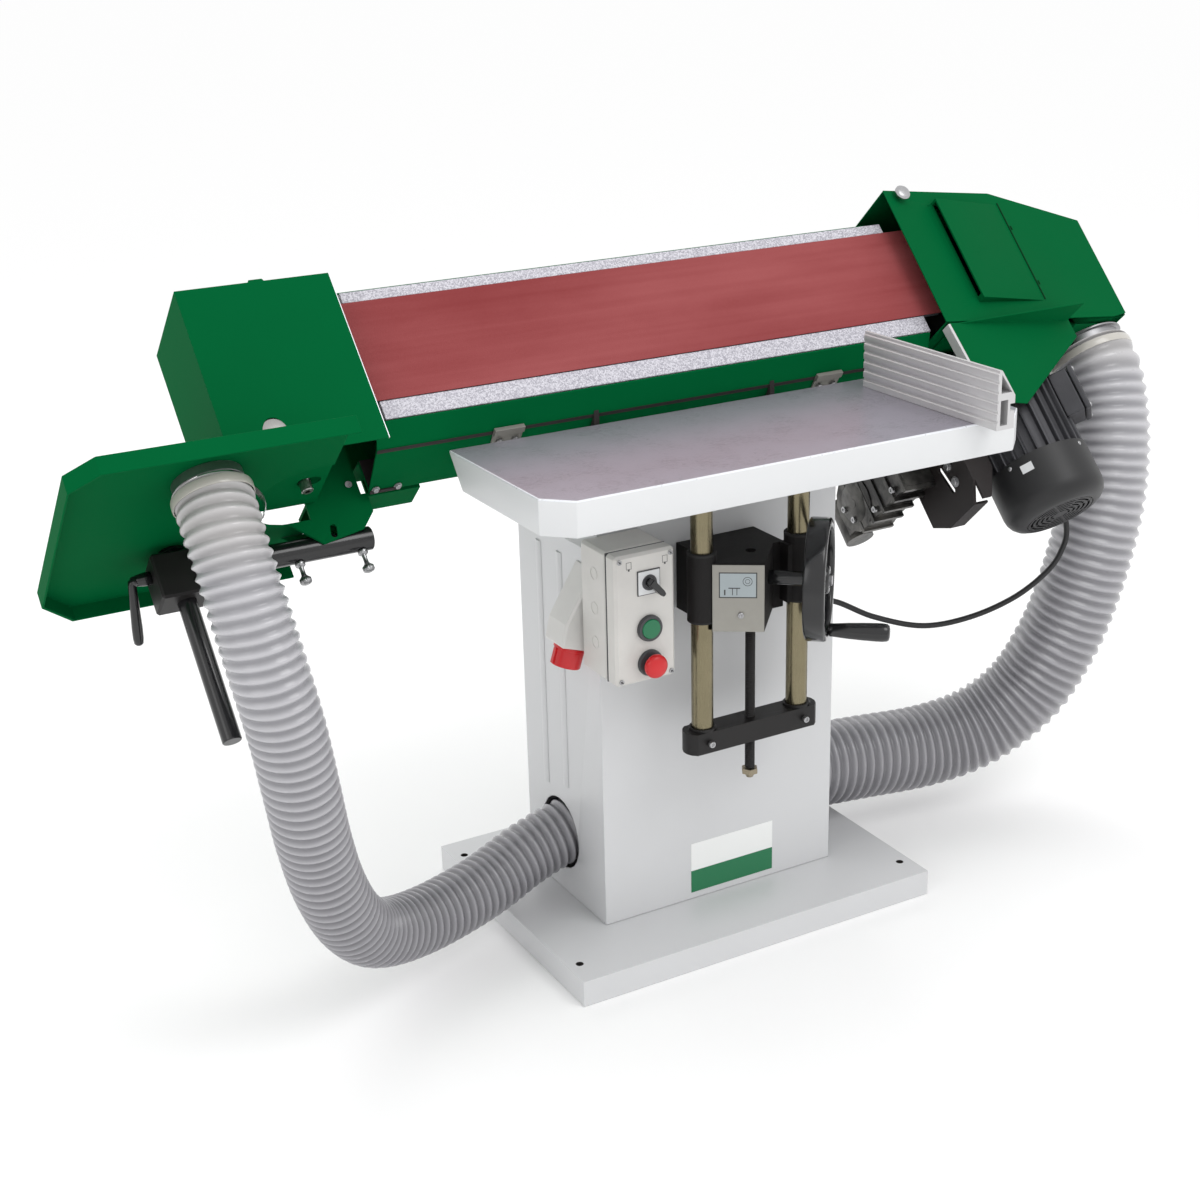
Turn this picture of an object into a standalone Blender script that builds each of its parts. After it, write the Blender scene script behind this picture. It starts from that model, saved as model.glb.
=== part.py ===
"""Tilting edge belt sander on a cabinet stand, as separate solids in metres, +Z up.

The origin is on the floor, under the middle of the base tray.  +X runs along the sanding belt
and +Y runs to the back.  The sanding unit is modelled upright in its own frame, where x runs
along the belt, y is the depth behind the belt's face and z is the height up the belt.  That
frame leans back on its two pivot pins.
"""
import math

import bmesh
import bpy
from mathutils import Matrix, Vector

# ---------------------------------------------------------------- driving dimensions
GAP = 0.0003            # left between neighbouring solids
SHEET = 0.002           # sheet steel of the covers
LEAN = math.radians(43.3)           # the belt face leans back this far from upright
UNIT_Y, UNIT_Z = -0.0447, 0.8646    # lower front edge of the belt

BASE_X, BASE_Y, BASE_Z = 0.610, 0.475, 0.040
COLUMN_X = 0.201                    # half width of the column
COLUMN_FRONT, COLUMN_BACK = -0.119, 0.120
COLUMN_TOP, FRONT_TOP = 0.620, 0.715
HOSE_HOLE_Y, HOSE_HOLE_Z = 0.018, 0.135

TABLE_LEFT, TABLE_RIGHT = -0.3975, 0.3487
TABLE_FRONT, TABLE_BACK = -0.3675, -0.0808
TABLE_TOP, TABLE_SKIRT = 0.794, 0.048
TABLE_CORNER, TABLE_BEVEL = 0.0345, 0.037
POST_LEFT, POST_RIGHT, POST_Y, POST_R = -0.085, 0.075, -0.204, 0.0155
SPINDLE_X, SPINDLE_R = -0.005, 0.0075
BLOCK_LOW, BLOCK_HIGH = 0.518, 0.616
GUIDE_LOW, GUIDE_HIGH = 0.530, 0.628
BAR_LOW, BAR_HIGH = 0.334, 0.366
WHEEL = (0.064, -0.2785, 0.582)     # middle of the handwheel, whose shaft points forward and right
WHEEL_TURN, WHEEL_R = math.radians(-41), 0.086

BELT_W, BELT_T = 0.150, 0.0012
DRIVE_X, DRIVE_R = 0.549, 0.075     # radius over the belt
IDLER_X, IDLER_R = -0.590, 0.0515
PIVOT_B, PIVOT_W = 0.180, 0.0318    # pivot pins, behind the belt face and above its edge
ARM_LEFT, ARM_RIGHT, ARM_T = -0.165, 0.125, 0.008
MOTOR_R, MOTOR_TOP, MOTOR_LOW = 0.0800, -0.0606, -0.246

HOOD_LEFT, HOOD_RIGHT, HOOD_BACK = 0.4157, 0.8375, 0.172
HOOD_FRONT, HOOD_SLOPE = -0.035, 0.19   # the hood's face recedes towards its right end
HOOD_SEAM = -0.0363
LEFT_HOSE_R, RIGHT_HOSE_R = 0.0475, 0.0675
AUX_TOP, AUX_SHEET, AUX_FLANGE = -0.090, 0.003, 0.024
ARM_TUBE_B, ARM_TUBE_W, ARM_TUBE_R = 0.140, -0.1265, 0.016
ROD_X, ROD_R = -0.758, 0.0125

# ---------------------------------------------------------------- scene and helpers
for old in list(bpy.data.objects):
    bpy.data.objects.remove(old, do_unlink=True)

MATERIALS = {}
PLANES = {"x": (1, 2, 0), "y": (0, 2, 1), "z": (0, 1, 2)}


def material(name, colour, roughness, metallic=0.0):
    made = bpy.data.materials.new(name)
    made.use_nodes = True
    shader = made.node_tree.nodes["Principled BSDF"]
    shader.inputs["Base Color"].default_value = (*colour, 1.0)
    shader.inputs["Roughness"].default_value = roughness
    shader.inputs["Metallic"].default_value = metallic
    MATERIALS[name] = made


material("white_enamel", (0.80, 0.80, 0.79), 0.25)
material("green_enamel", (0.0, 0.133, 0.033), 0.35)
material("black_enamel", (0.018, 0.018, 0.018), 0.35)
material("black_plastic", (0.012, 0.012, 0.012), 0.20)
material("light_plastic", (0.62, 0.61, 0.58), 0.40)
material("grey_plate", (0.50, 0.50, 0.47), 0.45)
material("red_plastic", (0.55, 0.01, 0.01), 0.30)
material("green_plastic", (0.0, 0.18, 0.06), 0.30)
material("ground_iron", (0.38, 0.36, 0.40), 0.30, 0.9)
material("bright_steel", (0.60, 0.60, 0.60), 0.22, 1.0)
material("ground_post", (0.42, 0.38, 0.33), 0.22, 1.0)
material("speckled_zinc", (0.52, 0.51, 0.55), 0.50, 0.4)
material("abrasive", (0.36, 0.09, 0.10), 0.85)
material("aluminium", (0.62, 0.62, 0.63), 0.32, 0.9)
material("cast_grey", (0.20, 0.20, 0.20), 0.45, 0.5)
material("roller_rubber", (0.03, 0.03, 0.03), 0.70)
material("hose_plastic", (0.50, 0.50, 0.53), 0.30)
material("cable_rubber", (0.015, 0.015, 0.015), 0.45)

unit_frame = bpy.data.objects.new("unit_frame", None)
unit_frame.location = (0, UNIT_Y, UNIT_Z)
unit_frame.rotation_euler = (-LEAN, 0, 0)
bpy.context.collection.objects.link(unit_frame)


def unit_point(x, back, up):
    """World place of a point given in the sanding unit's frame."""
    return Matrix.Translation((0, UNIT_Y, UNIT_Z)) @ Matrix.Rotation(-LEAN, 4, "X") @ Vector((x, back, up))


def arc(centre, radius, start, end, steps):
    """Points on a round stretch of an outline, angles in degrees."""
    turn = [math.radians(start + (end - start) * i / steps) for i in range(steps + 1)]
    return [(centre[0] + radius * math.cos(a), centre[1] + radius * math.sin(a)) for a in turn]


def prism(outline, axis, low, high):
    """Solid with the given outline across axis, from low to high along it."""
    first, second, third = PLANES[axis]
    mesh = bmesh.new()
    ends = []
    for level in (low, high):
        ring = []
        for point in outline:
            place = [0.0, 0.0, 0.0]
            place[first], place[second], place[third] = point[0], point[1], level
            ring.append(mesh.verts.new(place))
        ends.append(ring)
    mesh.faces.new(ends[0])
    mesh.faces.new(ends[1])
    for i in range(len(outline)):
        j = (i + 1) % len(outline)
        mesh.faces.new((ends[0][i], ends[0][j], ends[1][j], ends[1][i]))
    bmesh.ops.recalc_face_normals(mesh, faces=mesh.faces)
    return mesh


def box(x, y, z):
    return prism([(x[0], y[0]), (x[1], y[0]), (x[1], y[1]), (x[0], y[1])], "z", *z)


def disc(axis, centre, radius, low, high, sides=24):
    outline = [(centre[0] + radius * math.cos(2 * math.pi * i / sides),
                centre[1] + radius * math.sin(2 * math.pi * i / sides)) for i in range(sides)]
    return prism(outline, axis, low, high)


def turned(profile, axis, centre, sides=24):
    """Solid turned about axis through centre; profile is a closed ring of (radius, height)."""
    first, second, third = PLANES[axis]
    mesh = bmesh.new()
    rings = []
    for radius, height in profile:
        ring = []
        for i in range(sides if radius > 1e-6 else 1):
            angle = 2 * math.pi * i / sides
            place = [0.0, 0.0, 0.0]
            place[first] = centre[0] + radius * math.cos(angle)
            place[second] = centre[1] + radius * math.sin(angle)
            place[third] = height
            ring.append(mesh.verts.new(place))
        rings.append(ring)
    for a, b in zip(rings, rings[1:] + rings[:1]):
        for i in range(sides):
            j = (i + 1) % sides
            corners = [a[i % len(a)], a[j % len(a)], b[j % len(b)], b[i % len(b)]]
            corners = list(dict.fromkeys(corners))
            if len(corners) > 2:
                mesh.faces.new(corners)
    bmesh.ops.recalc_face_normals(mesh, faces=mesh.faces)
    return mesh


def placed(mesh, *steps):
    """The mesh moved by the given matrices, outermost first."""
    whole = Matrix.Identity(4)
    for step in steps:
        whole = whole @ step
    bmesh.ops.transform(mesh, matrix=whole, verts=mesh.verts)
    return mesh


def link(name, mesh, parent, origin):
    bmesh.ops.translate(mesh, vec=-Vector(origin), verts=mesh.verts)
    data = bpy.data.meshes.new(name)
    mesh.to_mesh(data)
    mesh.free()
    made = bpy.data.objects.new(name, data)
    made.location = origin
    made.parent = parent
    bpy.context.collection.objects.link(made)
    return made


def node(name, mesh, finish, parent=None, origin=(0, 0, 0), bevel=0.0):
    """One named piece, with its origin on its joint when it moves."""
    made = link(name, mesh, parent, origin)
    made.data.materials.append(MATERIALS[finish])
    made.data.shade_smooth()
    made.data.set_sharp_from_angle(angle=math.radians(30))
    if bevel:
        rounded = made.modifiers.new("edges", "BEVEL")
        rounded.width = bevel
        rounded.segments = 1
        rounded.limit_method = "ANGLE"
        rounded.angle_limit = math.radians(40)
    return made


def combine(target, operation, *tools):
    """Boolean each tool mesh into target; the tools stay as hidden guides."""
    for number, mesh in enumerate(tools):
        guide = link(f"{target.name}_{operation.lower()}_{number}", mesh, target.parent, (0, 0, 0))
        guide.hide_render = True
        guide.display_type = "WIRE"
        step = target.modifiers.new(guide.name, "BOOLEAN")
        step.operation = operation
        step.solver = "EXACT"
        step.object = guide
    return target


def cut(target, *tools):
    return combine(target, "DIFFERENCE", *tools)


def fuse(target, *tools):
    return combine(target, "UNION", *tools)


def smooth_route(points, spacing):
    """Evenly spaced points on a smooth curve through the route's own points."""
    knots = [Vector(p) for p in points]
    knots = [2 * knots[0] - knots[1]] + knots + [2 * knots[-1] - knots[-2]]
    dense = []
    for a, b, c, d in zip(knots, knots[1:], knots[2:], knots[3:]):
        for step in range(24):
            t = step / 24
            dense.append(0.5 * (2 * b + (c - a) * t + (2 * a - 5 * b + 4 * c - d) * t * t
                                + (3 * b - a - 3 * c + d) * t * t * t))
    dense.append(knots[-2])
    total = sum((q - p).length for p, q in zip(dense, dense[1:]))
    count = max(2, round(total / spacing))
    route, wanted, walked = [dense[0]], total / count, 0.0
    for p, q in zip(dense, dense[1:]):
        step = (q - p).length
        while len(route) < count and walked + step >= wanted * len(route):
            route.append(p.lerp(q, (wanted * len(route) - walked) / step))
        walked += step
    return route + [dense[-1]]


def cord(name, points, radius, spacing, finish, resolution=2):
    curve = bpy.data.curves.new(name, "CURVE")
    curve.dimensions = "3D"
    curve.bevel_depth = radius
    curve.bevel_resolution = resolution
    curve.use_fill_caps = True
    route = smooth_route(points, spacing)
    spline = curve.splines.new("POLY")
    spline.points.add(len(route) - 1)
    for target, place in zip(spline.points, route):
        target.co = (*place, 1.0)
    made = bpy.data.objects.new(name, curve)
    curve.materials.append(MATERIALS[finish])
    bpy.context.collection.objects.link(made)


# ---------------------------------------------------------------- stand
def make_stand():
    half_x, half_y = BASE_X / 2, BASE_Y / 2
    rim, rib = 0.012, 0.030
    base = node("base_tray", box((-half_x, half_x), (-half_y, half_y), (0, BASE_Z)), "white_enamel")
    for sx in (-1, 1):
        for sy in (-1, 1):
            xs = sorted((sx * rib, sx * (half_x - rim)))
            ys = sorted((sy * rib, sy * (half_y - rim)))
            cut(base, box(xs, ys, (-0.01, BASE_Z - 0.006)))
            cut(base, disc("z", (sx * 0.286, sy * 0.191), 0.006, -0.01, BASE_Z + 0.01, 12))

    low = BASE_Z + GAP
    wall = 0.003
    column = node("column", box((-COLUMN_X, COLUMN_X), (COLUMN_FRONT, COLUMN_BACK), (low, COLUMN_TOP)),
                  "white_enamel")
    fuse(column, box((-COLUMN_X, COLUMN_X), (COLUMN_FRONT, COLUMN_FRONT + wall), (COLUMN_TOP - 0.01, FRONT_TOP)))
    cut(column, box((-COLUMN_X + wall, COLUMN_X - wall), (COLUMN_FRONT + wall, COLUMN_BACK + 0.01),
                    (low - 0.01, COLUMN_TOP - wall)))
    centre = (HOSE_HOLE_Y, HOSE_HOLE_Z)
    cut(column, disc("x", centre, 0.0565, -0.3, 0.0, 24), disc("x", centre, 0.0745, 0.0, 0.3, 24))
    cut(column, disc("x", (0.020, 0.420), 0.009, 0.0, 0.3, 12))

    panel = node("rear_panel", box((-0.200, 0.200), (COLUMN_BACK + GAP, COLUMN_BACK + 0.003),
                                   (low + 0.001, COLUMN_TOP)), "white_enamel")
    cut(panel, disc("y", (0, 0.22), 0.056, 0.0, 0.3, 24))
    flange = [(0.0750, 0.1233), (0.0750, 0.1263), (0.0600, 0.1263), (0.0600, 0.1900),
              (0.0575, 0.1900), (0.0575, 0.1233)]
    node("dust_outlet", turned(flange, "y", (0, 0.22), 24), "black_enamel")


def make_pivots():
    pivot = unit_point(0, PIVOT_B, PIVOT_W)
    py, pz, radius = pivot.y, pivot.z, 0.0165
    low = COLUMN_TOP + GAP
    outline = [(0.030, low), (0.119, low), (py + radius, 0.70)]
    outline += arc((py, pz), radius, 0, 180, 8)
    outline += [(py - radius, 0.650), (0.055, 0.633), (0.030, 0.633)]
    for side, arm, outward in (("left", ARM_LEFT, -1), ("right", ARM_RIGHT, 1)):
        near = arm + outward * (ARM_T / 2 + 0.0005)
        far = near + outward * 0.012
        lug = node(f"pivot_lug_{side}", prism(outline, "x", *sorted((near, far))), "black_enamel")
        pin_ends = sorted((arm - outward * (ARM_T / 2 + 0.003), far + outward * 0.003))
        fuse(lug, disc("x", (py, pz), 0.0080, *pin_ends, 16))


def make_controls():
    x, y, z = (-0.228, -0.134), (-0.2145, COLUMN_FRONT - GAP), (0.463, 0.650)
    seam = -0.188
    node("control_box", box(x, (seam + GAP, y[1]), z), "light_plastic", bevel=0.004)
    lid = node("control_lid", box(x, (y[0], seam), z), "light_plastic", bevel=0.004)
    cx = -0.176
    for height, radius in ((0.607, 0.0060), (0.541, 0.0140), (0.4905, 0.0085)):
        cut(lid, disc("y", (cx, height), radius + GAP, y[0] - 0.01, y[0] + 0.013, 16))
    knob = node("rotary_switch", disc("y", (cx, 0.607), 0.0060, y[0] - 0.014, y[0] + 0.010, 16),
                "black_plastic", origin=(cx, y[0], 0.607))
    grip = box((-0.006, 0.0235), (y[0] - 0.019, y[0] - 0.009), (-0.0045, 0.0045))
    fuse(knob, placed(grip, Matrix.Translation((cx, 0, 0.607)), Matrix.Rotation(math.radians(48), 4, "Y")))
    start = [(0, y[0] - 0.0085), (0.0125, y[0] - 0.0085), (0.0139, y[0] - 0.0070), (0.0139, y[0] + 0.008),
             (0, y[0] + 0.008)]
    node("start_button", turned(start, "y", (cx, 0.541), 20), "green_plastic", origin=(cx, y[0], 0.541))
    stop = [(0, y[0] - 0.026), (0.0110, y[0] - 0.0245), (0.0170, y[0] - 0.020), (0.0170, y[0] - 0.014),
            (0.0083, y[0] - 0.0105), (0.0083, y[0] + 0.008), (0, y[0] + 0.008)]
    node("stop_button", turned(stop, "y", (cx, 0.4905), 20), "red_plastic", origin=(cx, y[0], 0.4905))

    wall = -COLUMN_X - GAP
    low, corner = Vector((wall, 0, 0.474)), Vector((-0.2560, 0, 0.492))
    profile = [(wall, 0.600), (low.x, low.z), (corner.x, corner.z), (-0.2480, 0.525)]
    node("inlet_housing", prism(profile, "y", -0.112, -0.058), "light_plastic", bevel=0.003)
    slope = (corner - low).normalized()
    out = Vector((-slope.z, 0, slope.x))
    place = Matrix.Translation((low + corner) / 2 + Vector((0, -0.085, 0)) + out * GAP)
    turn = Vector((0, 0, 1)).rotation_difference(out).to_matrix().to_4x4()
    collar = turned([(0.0235, 0), (0.0235, 0.005), (0.0218, 0.005), (0.0218, 0.030), (0.0182, 0.030),
                     (0.0182, 0.004), (0, 0.004), (0, 0)], "z", (0, 0), 20)
    node("inlet_collar", placed(collar, place, turn), "red_plastic")


# ---------------------------------------------------------------- table and its lift
def make_lift():
    back = COLUMN_FRONT - GAP
    outline = [(-0.074, back), (-0.074, -0.212), (-0.0815, -0.2235), (-0.022, -0.264), (0.038, -0.196),
               (0.056, -0.196), (0.056, back)]
    block = node("lift_block", prism(outline, "z", BLOCK_LOW, BLOCK_HIGH), "black_enamel")
    for x in (POST_LEFT, POST_RIGHT):
        fuse(block, disc("z", (x, POST_Y), 0.0205, GUIDE_LOW, GUIDE_HIGH, 20))
    fuse(block, box((0.050, POST_RIGHT), (-0.215, -0.193), (GUIDE_LOW, BLOCK_HIGH)))
    for x in (POST_LEFT, POST_RIGHT):
        cut(block, disc("z", (x, POST_Y), POST_R + GAP, 0.4, 0.8, 20))
    cut(block, disc("z", (SPINDLE_X, POST_Y), SPINDLE_R + GAP, 0.4, 0.8, 16))
    stand_off = (Matrix.Translation(WHEEL), Matrix.Rotation(WHEEL_TURN, 4, "Z"))
    cut(block, placed(disc("x", (0, 0), 0.0103, -0.0885, 0.0, 16), *stand_off))

    shaft = [(0, -0.0860), (0.0100, -0.0860), (0.0100, -0.0200), (0.0220, -0.0200), (0.0220, 0.0100), (0, 0.0100)]
    wheel = node("handwheel", placed(turned(shaft, "x", (0, 0), 20), *stand_off), "black_plastic", origin=WHEEL)
    rim = [(WHEEL_R - 0.002, -0.0200), (WHEEL_R, -0.0170), (WHEEL_R, 0.0070), (WHEEL_R - 0.004, 0.0100),
           (WHEEL_R - 0.012, 0.0100), (WHEEL_R - 0.012, -0.0090), (WHEEL_R - 0.007, -0.0200)]
    fuse(wheel, placed(turned(rim, "x", (0, 0), 32), *stand_off))
    for angle in (60, 180, 300):
        spoke = box((-0.0120, -0.0030), (-0.0090, 0.0090), (0.0140, WHEEL_R - 0.0100))
        fuse(wheel, placed(spoke, *stand_off, Matrix.Rotation(math.radians(angle), 4, "X")))

    root = stand_off[0] @ stand_off[1] @ Vector((0.0100 + GAP, 0, -WHEEL_R + 0.0120))
    grip = turned([(0, 0), (0.0090, 0), (0.0105, 0.0150), (0.0130, 0.0740), (0.0120, 0.0820), (0, 0.0840)],
                  "x", (0, 0), 16)
    node("crank_grip", placed(grip, Matrix.Translation(root), stand_off[1]), "black_plastic", origin=root)

    spindle = node("lift_spindle", disc("z", (SPINDLE_X, POST_Y), SPINDLE_R, 0.272, 0.600, 16), "black_enamel",
                   origin=(SPINDLE_X, POST_Y, 0.600))
    fuse(spindle, disc("z", (SPINDLE_X, POST_Y), 0.0125, 0.270, 0.284, 6))


def make_table():
    c = TABLE_CORNER
    low = TABLE_TOP - TABLE_SKIRT
    outline = [(TABLE_LEFT, TABLE_FRONT + c), (TABLE_LEFT + c, TABLE_FRONT), (TABLE_RIGHT - c, TABLE_FRONT),
               (TABLE_RIGHT, TABLE_FRONT + c), (TABLE_RIGHT, TABLE_BACK), (TABLE_LEFT, TABLE_BACK)]
    table = node("table_top", prism(outline, "z", low, TABLE_TOP), "ground_iron")
    wedge = [(TABLE_BACK - TABLE_BEVEL, low - 0.001), (TABLE_BACK + 0.01, low - 0.001),
             (TABLE_BACK + 0.01, TABLE_TOP - 0.010), (TABLE_BACK, TABLE_TOP - 0.010)]
    cut(table, prism(wedge, "x", -0.6, 0.6))
    rim, roof = 0.010, TABLE_TOP - 0.010
    rib = 0.006
    for xs in ((TABLE_LEFT + rim, -0.125), (0.115, TABLE_RIGHT - rim)):
        y_front = TABLE_FRONT + c + 0.002
        cut(table, box(xs, (y_front, TABLE_BACK - TABLE_BEVEL - rim), (low - 0.01, roof)))
    cut(table, box((-0.125 + rib, 0.115 - rib), (TABLE_FRONT + rim, POST_Y - 0.030), (low - 0.01, roof)))
    for side, x in (("left", POST_LEFT), ("right", POST_RIGHT)):
        node(f"post_{side}", disc("z", (x, POST_Y), POST_R, BAR_LOW + 0.002, low - GAP, 20),
             "ground_post")
    ends = arc((POST_LEFT - 0.008, POST_Y), 0.022, 120, 240, 5)
    ends += arc((POST_RIGHT + 0.008, POST_Y), 0.022, -60, 60, 5)
    bar = node("cross_bar", prism(ends, "z", BAR_LOW, BAR_HIGH), "black_enamel")
    for x, radius, low_cut in ((POST_LEFT, POST_R, BAR_LOW + 0.0017), (POST_RIGHT, POST_R, BAR_LOW + 0.0017),
                               (SPINDLE_X, SPINDLE_R, 0.2)):
        cut(bar, disc("z", (x, POST_Y), radius + GAP, low_cut, 0.5, 20))

    x0, low, high = 0.245, TABLE_TOP + GAP, TABLE_TOP + 0.0815
    ribs = 6
    pitch = (high - low) / ribs
    profile = []
    for i in range(ribs):
        z = low + i * pitch
        profile += [(x0, z), (x0, z + pitch * 0.62), (x0 + 0.0015, z + pitch * 0.72), (x0 + 0.0015, z + pitch)]
    profile += [(x0 + 0.006, high), (x0 + 0.030, low + 0.045), (x0 + 0.030, low + 0.034), (x0 + 0.022, low + 0.034),
                (x0 + 0.022, low + 0.024), (x0 + 0.030, low + 0.024), (x0 + 0.030, low)]
    fence = node("fence", prism(profile, "y", -0.4105, -0.119), "aluminium", origin=(x0, -0.26, low))
    chamber = [(x0 + 0.006, low + 0.050), (x0 + 0.006, high - 0.006), (x0 + 0.024, low + 0.050)]
    cut(fence, prism(chamber, "y", -0.5, 0.0))
    cut(fence, box((x0 + 0.006, x0 + 0.018), (-0.5, 0.0), (low + 0.006, low + 0.040)))


# ---------------------------------------------------------------- sanding unit
def make_belt_run():
    swing = math.degrees(2 * math.asin((DRIVE_R - IDLER_R) / math.hypot(DRIVE_X - IDLER_X, DRIVE_R - IDLER_R)))

    def loop(inset):
        right = arc((DRIVE_X, DRIVE_R), DRIVE_R - inset, -90, 90 + swing, 14)
        left = arc((IDLER_X, IDLER_R), IDLER_R - inset, 90 + swing, 270, 12)
        return right + left

    belt = node("sanding_belt", prism(loop(0), "z", 0, BELT_W), "abrasive", unit_frame)
    cut(belt, prism(loop(BELT_T), "z", -0.01, BELT_W + 0.01))

    inner = BELT_T + 0.0009
    shell = [(DRIVE_R - inner, 0.001), (DRIVE_R - inner, BELT_W - 0.001), (0.0143, BELT_W - 0.001), (0.0143, 0.001)]
    node("drive_roller", turned(shell, "z", (DRIVE_X, DRIVE_R), 28), "roller_rubber", unit_frame,
         origin=(DRIVE_X, DRIVE_R, 0.075))
    shaft = [(0, -0.300), (0.0120, -0.300), (0.0120, -0.020), (0.0140, -0.020), (0.0140, 0.155), (0, 0.155)]
    node("motor_shaft", turned(shaft, "z", (DRIVE_X, DRIVE_R), 16), "bright_steel", unit_frame,
         origin=(DRIVE_X, DRIVE_R, 0))
    shell = [(IDLER_R - inner, 0.001), (IDLER_R - inner, BELT_W - 0.001), (0.0084, BELT_W - 0.001), (0.0084, 0.001)]
    node("idler_roller", turned(shell, "z", (IDLER_X, IDLER_R), 28), "aluminium", unit_frame,
         origin=(IDLER_X, IDLER_R, 0.075))
    node("idler_shaft", disc("z", (IDLER_X, IDLER_R), 0.0080, -0.086, 0.166, 16), "bright_steel", unit_frame,
         origin=(IDLER_X, IDLER_R, 0))
    fork = node("idler_fork", box((-0.530, -0.440), (0.036, 0.066), (0.045, 0.105)), "bright_steel", unit_frame)
    for low, high in ((-0.016, -0.008), (0.153, 0.161)):
        fuse(fork, box((-0.606, -0.500), (0.038, 0.064), (low, high)))
    fuse(fork, box((-0.532, -0.526), (0.038, 0.064), (-0.012, 0.157)))
    cut(fork, disc("z", (IDLER_X, IDLER_R), 0.0083, -0.1, 0.2, 16))

    beam = node("belt_frame", box((-0.515, 0.440), (0.0105, 0.088), (0.003, BELT_W - 0.003)), "black_enamel",
                unit_frame)
    cut(beam, box((-0.513, 0.450), (0.0135, 0.089), (0.006, BELT_W - 0.006)))
    fuse(beam, box((-0.470, -0.400), (0.013, 0.0355), (0.044, 0.106)))
    fuse(beam, box((0.380, 0.436), (0.012, 0.088), (0.004, BELT_W - 0.004)))
    cut(beam, box((-0.520, -0.510), (0.0355, 0.0665), (0.0445, 0.1055)))
    node("platen", box((-0.480, 0.445), (BELT_T + GAP, 0.0102), (0.001, BELT_W - 0.001)), "ground_iron",
         unit_frame)
    node("rail_lower", box((-0.4754, 0.4120), (0.0010, 0.030), (-0.0280, -0.0006)), "speckled_zinc", unit_frame)
    node("rail_upper", box((-0.4754, 0.4120), (0.0010, 0.030), (BELT_W + 0.0006, BELT_W + 0.017)),
         "speckled_zinc", unit_frame)


def make_guards():
    t, back = SHEET, 0.160
    channel = [(0.0010, -0.0310), (0.0300, -0.0560), (0.1050, -0.0780), (0.1050, -0.0330), (back, -0.0330),
               (back, 0.1870), (0.0325, 0.1870), (0.0325, 0.1870 - t), (back - t, 0.1870 - t), (back - t, -0.0330 + t),
               (0.1050 - t, -0.0330 + t), (0.1050 - t, -0.0748), (0.0308, -0.0530), (0.0026, -0.0287)]
    node("rear_guard", prism(channel, "x", -0.4900, 0.4090), "green_enamel", unit_frame)
    arm = [(0.0250, -0.0530), (0.0297, -0.0568), (0.1058, -0.0791), (0.1058, -0.0338), (0.1608, -0.0338),
           (0.1640, 0.0450), (0.1950, 0.0450), (0.2010, 0.0200), (0.1750, -0.0850), (0.1300, -0.1040),
           (0.0640, -0.0980)]
    for side, x in (("left", ARM_LEFT), ("right", ARM_RIGHT)):
        made = node(f"tilt_arm_{side}", prism(arm, "x", x - ARM_T / 2, x + ARM_T / 2), "black_enamel", unit_frame,
                    origin=(x, PIVOT_B, PIVOT_W))
        cut(made, disc("x", (PIVOT_B, PIVOT_W), 0.0083, x - 0.02, x + 0.02, 16))


def make_idler_cover():
    x0, x1, y0, y1, z0, z1 = -0.7020, -0.4950, -0.0350, 0.1160, -0.0720, 0.1780
    t = SHEET
    cover = node("idler_cover", box((x0, x1), (y0, y1), (z0, z1)), "green_enamel", unit_frame)
    cut(cover, box((x0 + t, x1 + 0.01), (y0 + t, y1 - t), (z0 + t, z1 - t)))
    cut(cover, disc("y", (-0.636, -0.031), 0.0125, y0 - 0.01, y0 + 0.01, 16))
    slot = arc((IDLER_X, IDLER_R), 0.0100, 90, 270, 8) + arc((IDLER_X + 0.0120, IDLER_R), 0.0100, -90, 90, 8)
    cut(cover, prism(slot, "z", z0 - 0.01, z0 + 0.01))
    cut(cover, box((-0.5600, x1 + 0.01), (y0 + t, y1 + 0.01), (z0 - 0.01, z0 + 0.02)))
    cut(cover, box((-0.5600, x1 + 0.01), (y1 - 0.01, y1 + 0.01), (z0 - 0.01, 0.0300)))


def hood_face(x):
    """Depth of the hood's front face behind the belt face."""
    return HOOD_FRONT + HOOD_SLOPE * (x - HOOD_LEFT)


def slanted(outline, front, back, thick=SHEET):
    """Prism behind the hood's receding face, starting front away from it; flat at back, or of even thickness."""
    mesh = bmesh.new()
    near = [mesh.verts.new((x, hood_face(x) + front, z)) for x, z in outline]
    far = [mesh.verts.new((x, hood_face(x) + front + thick if back is None else back, z)) for x, z in outline]
    mesh.faces.new(near)
    mesh.faces.new(far)
    for i in range(len(outline)):
        j = (i + 1) % len(outline)
        mesh.faces.new((near[i], near[j], far[j], far[i]))
    bmesh.ops.recalc_face_normals(mesh, faces=mesh.faces)
    return mesh


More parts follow.
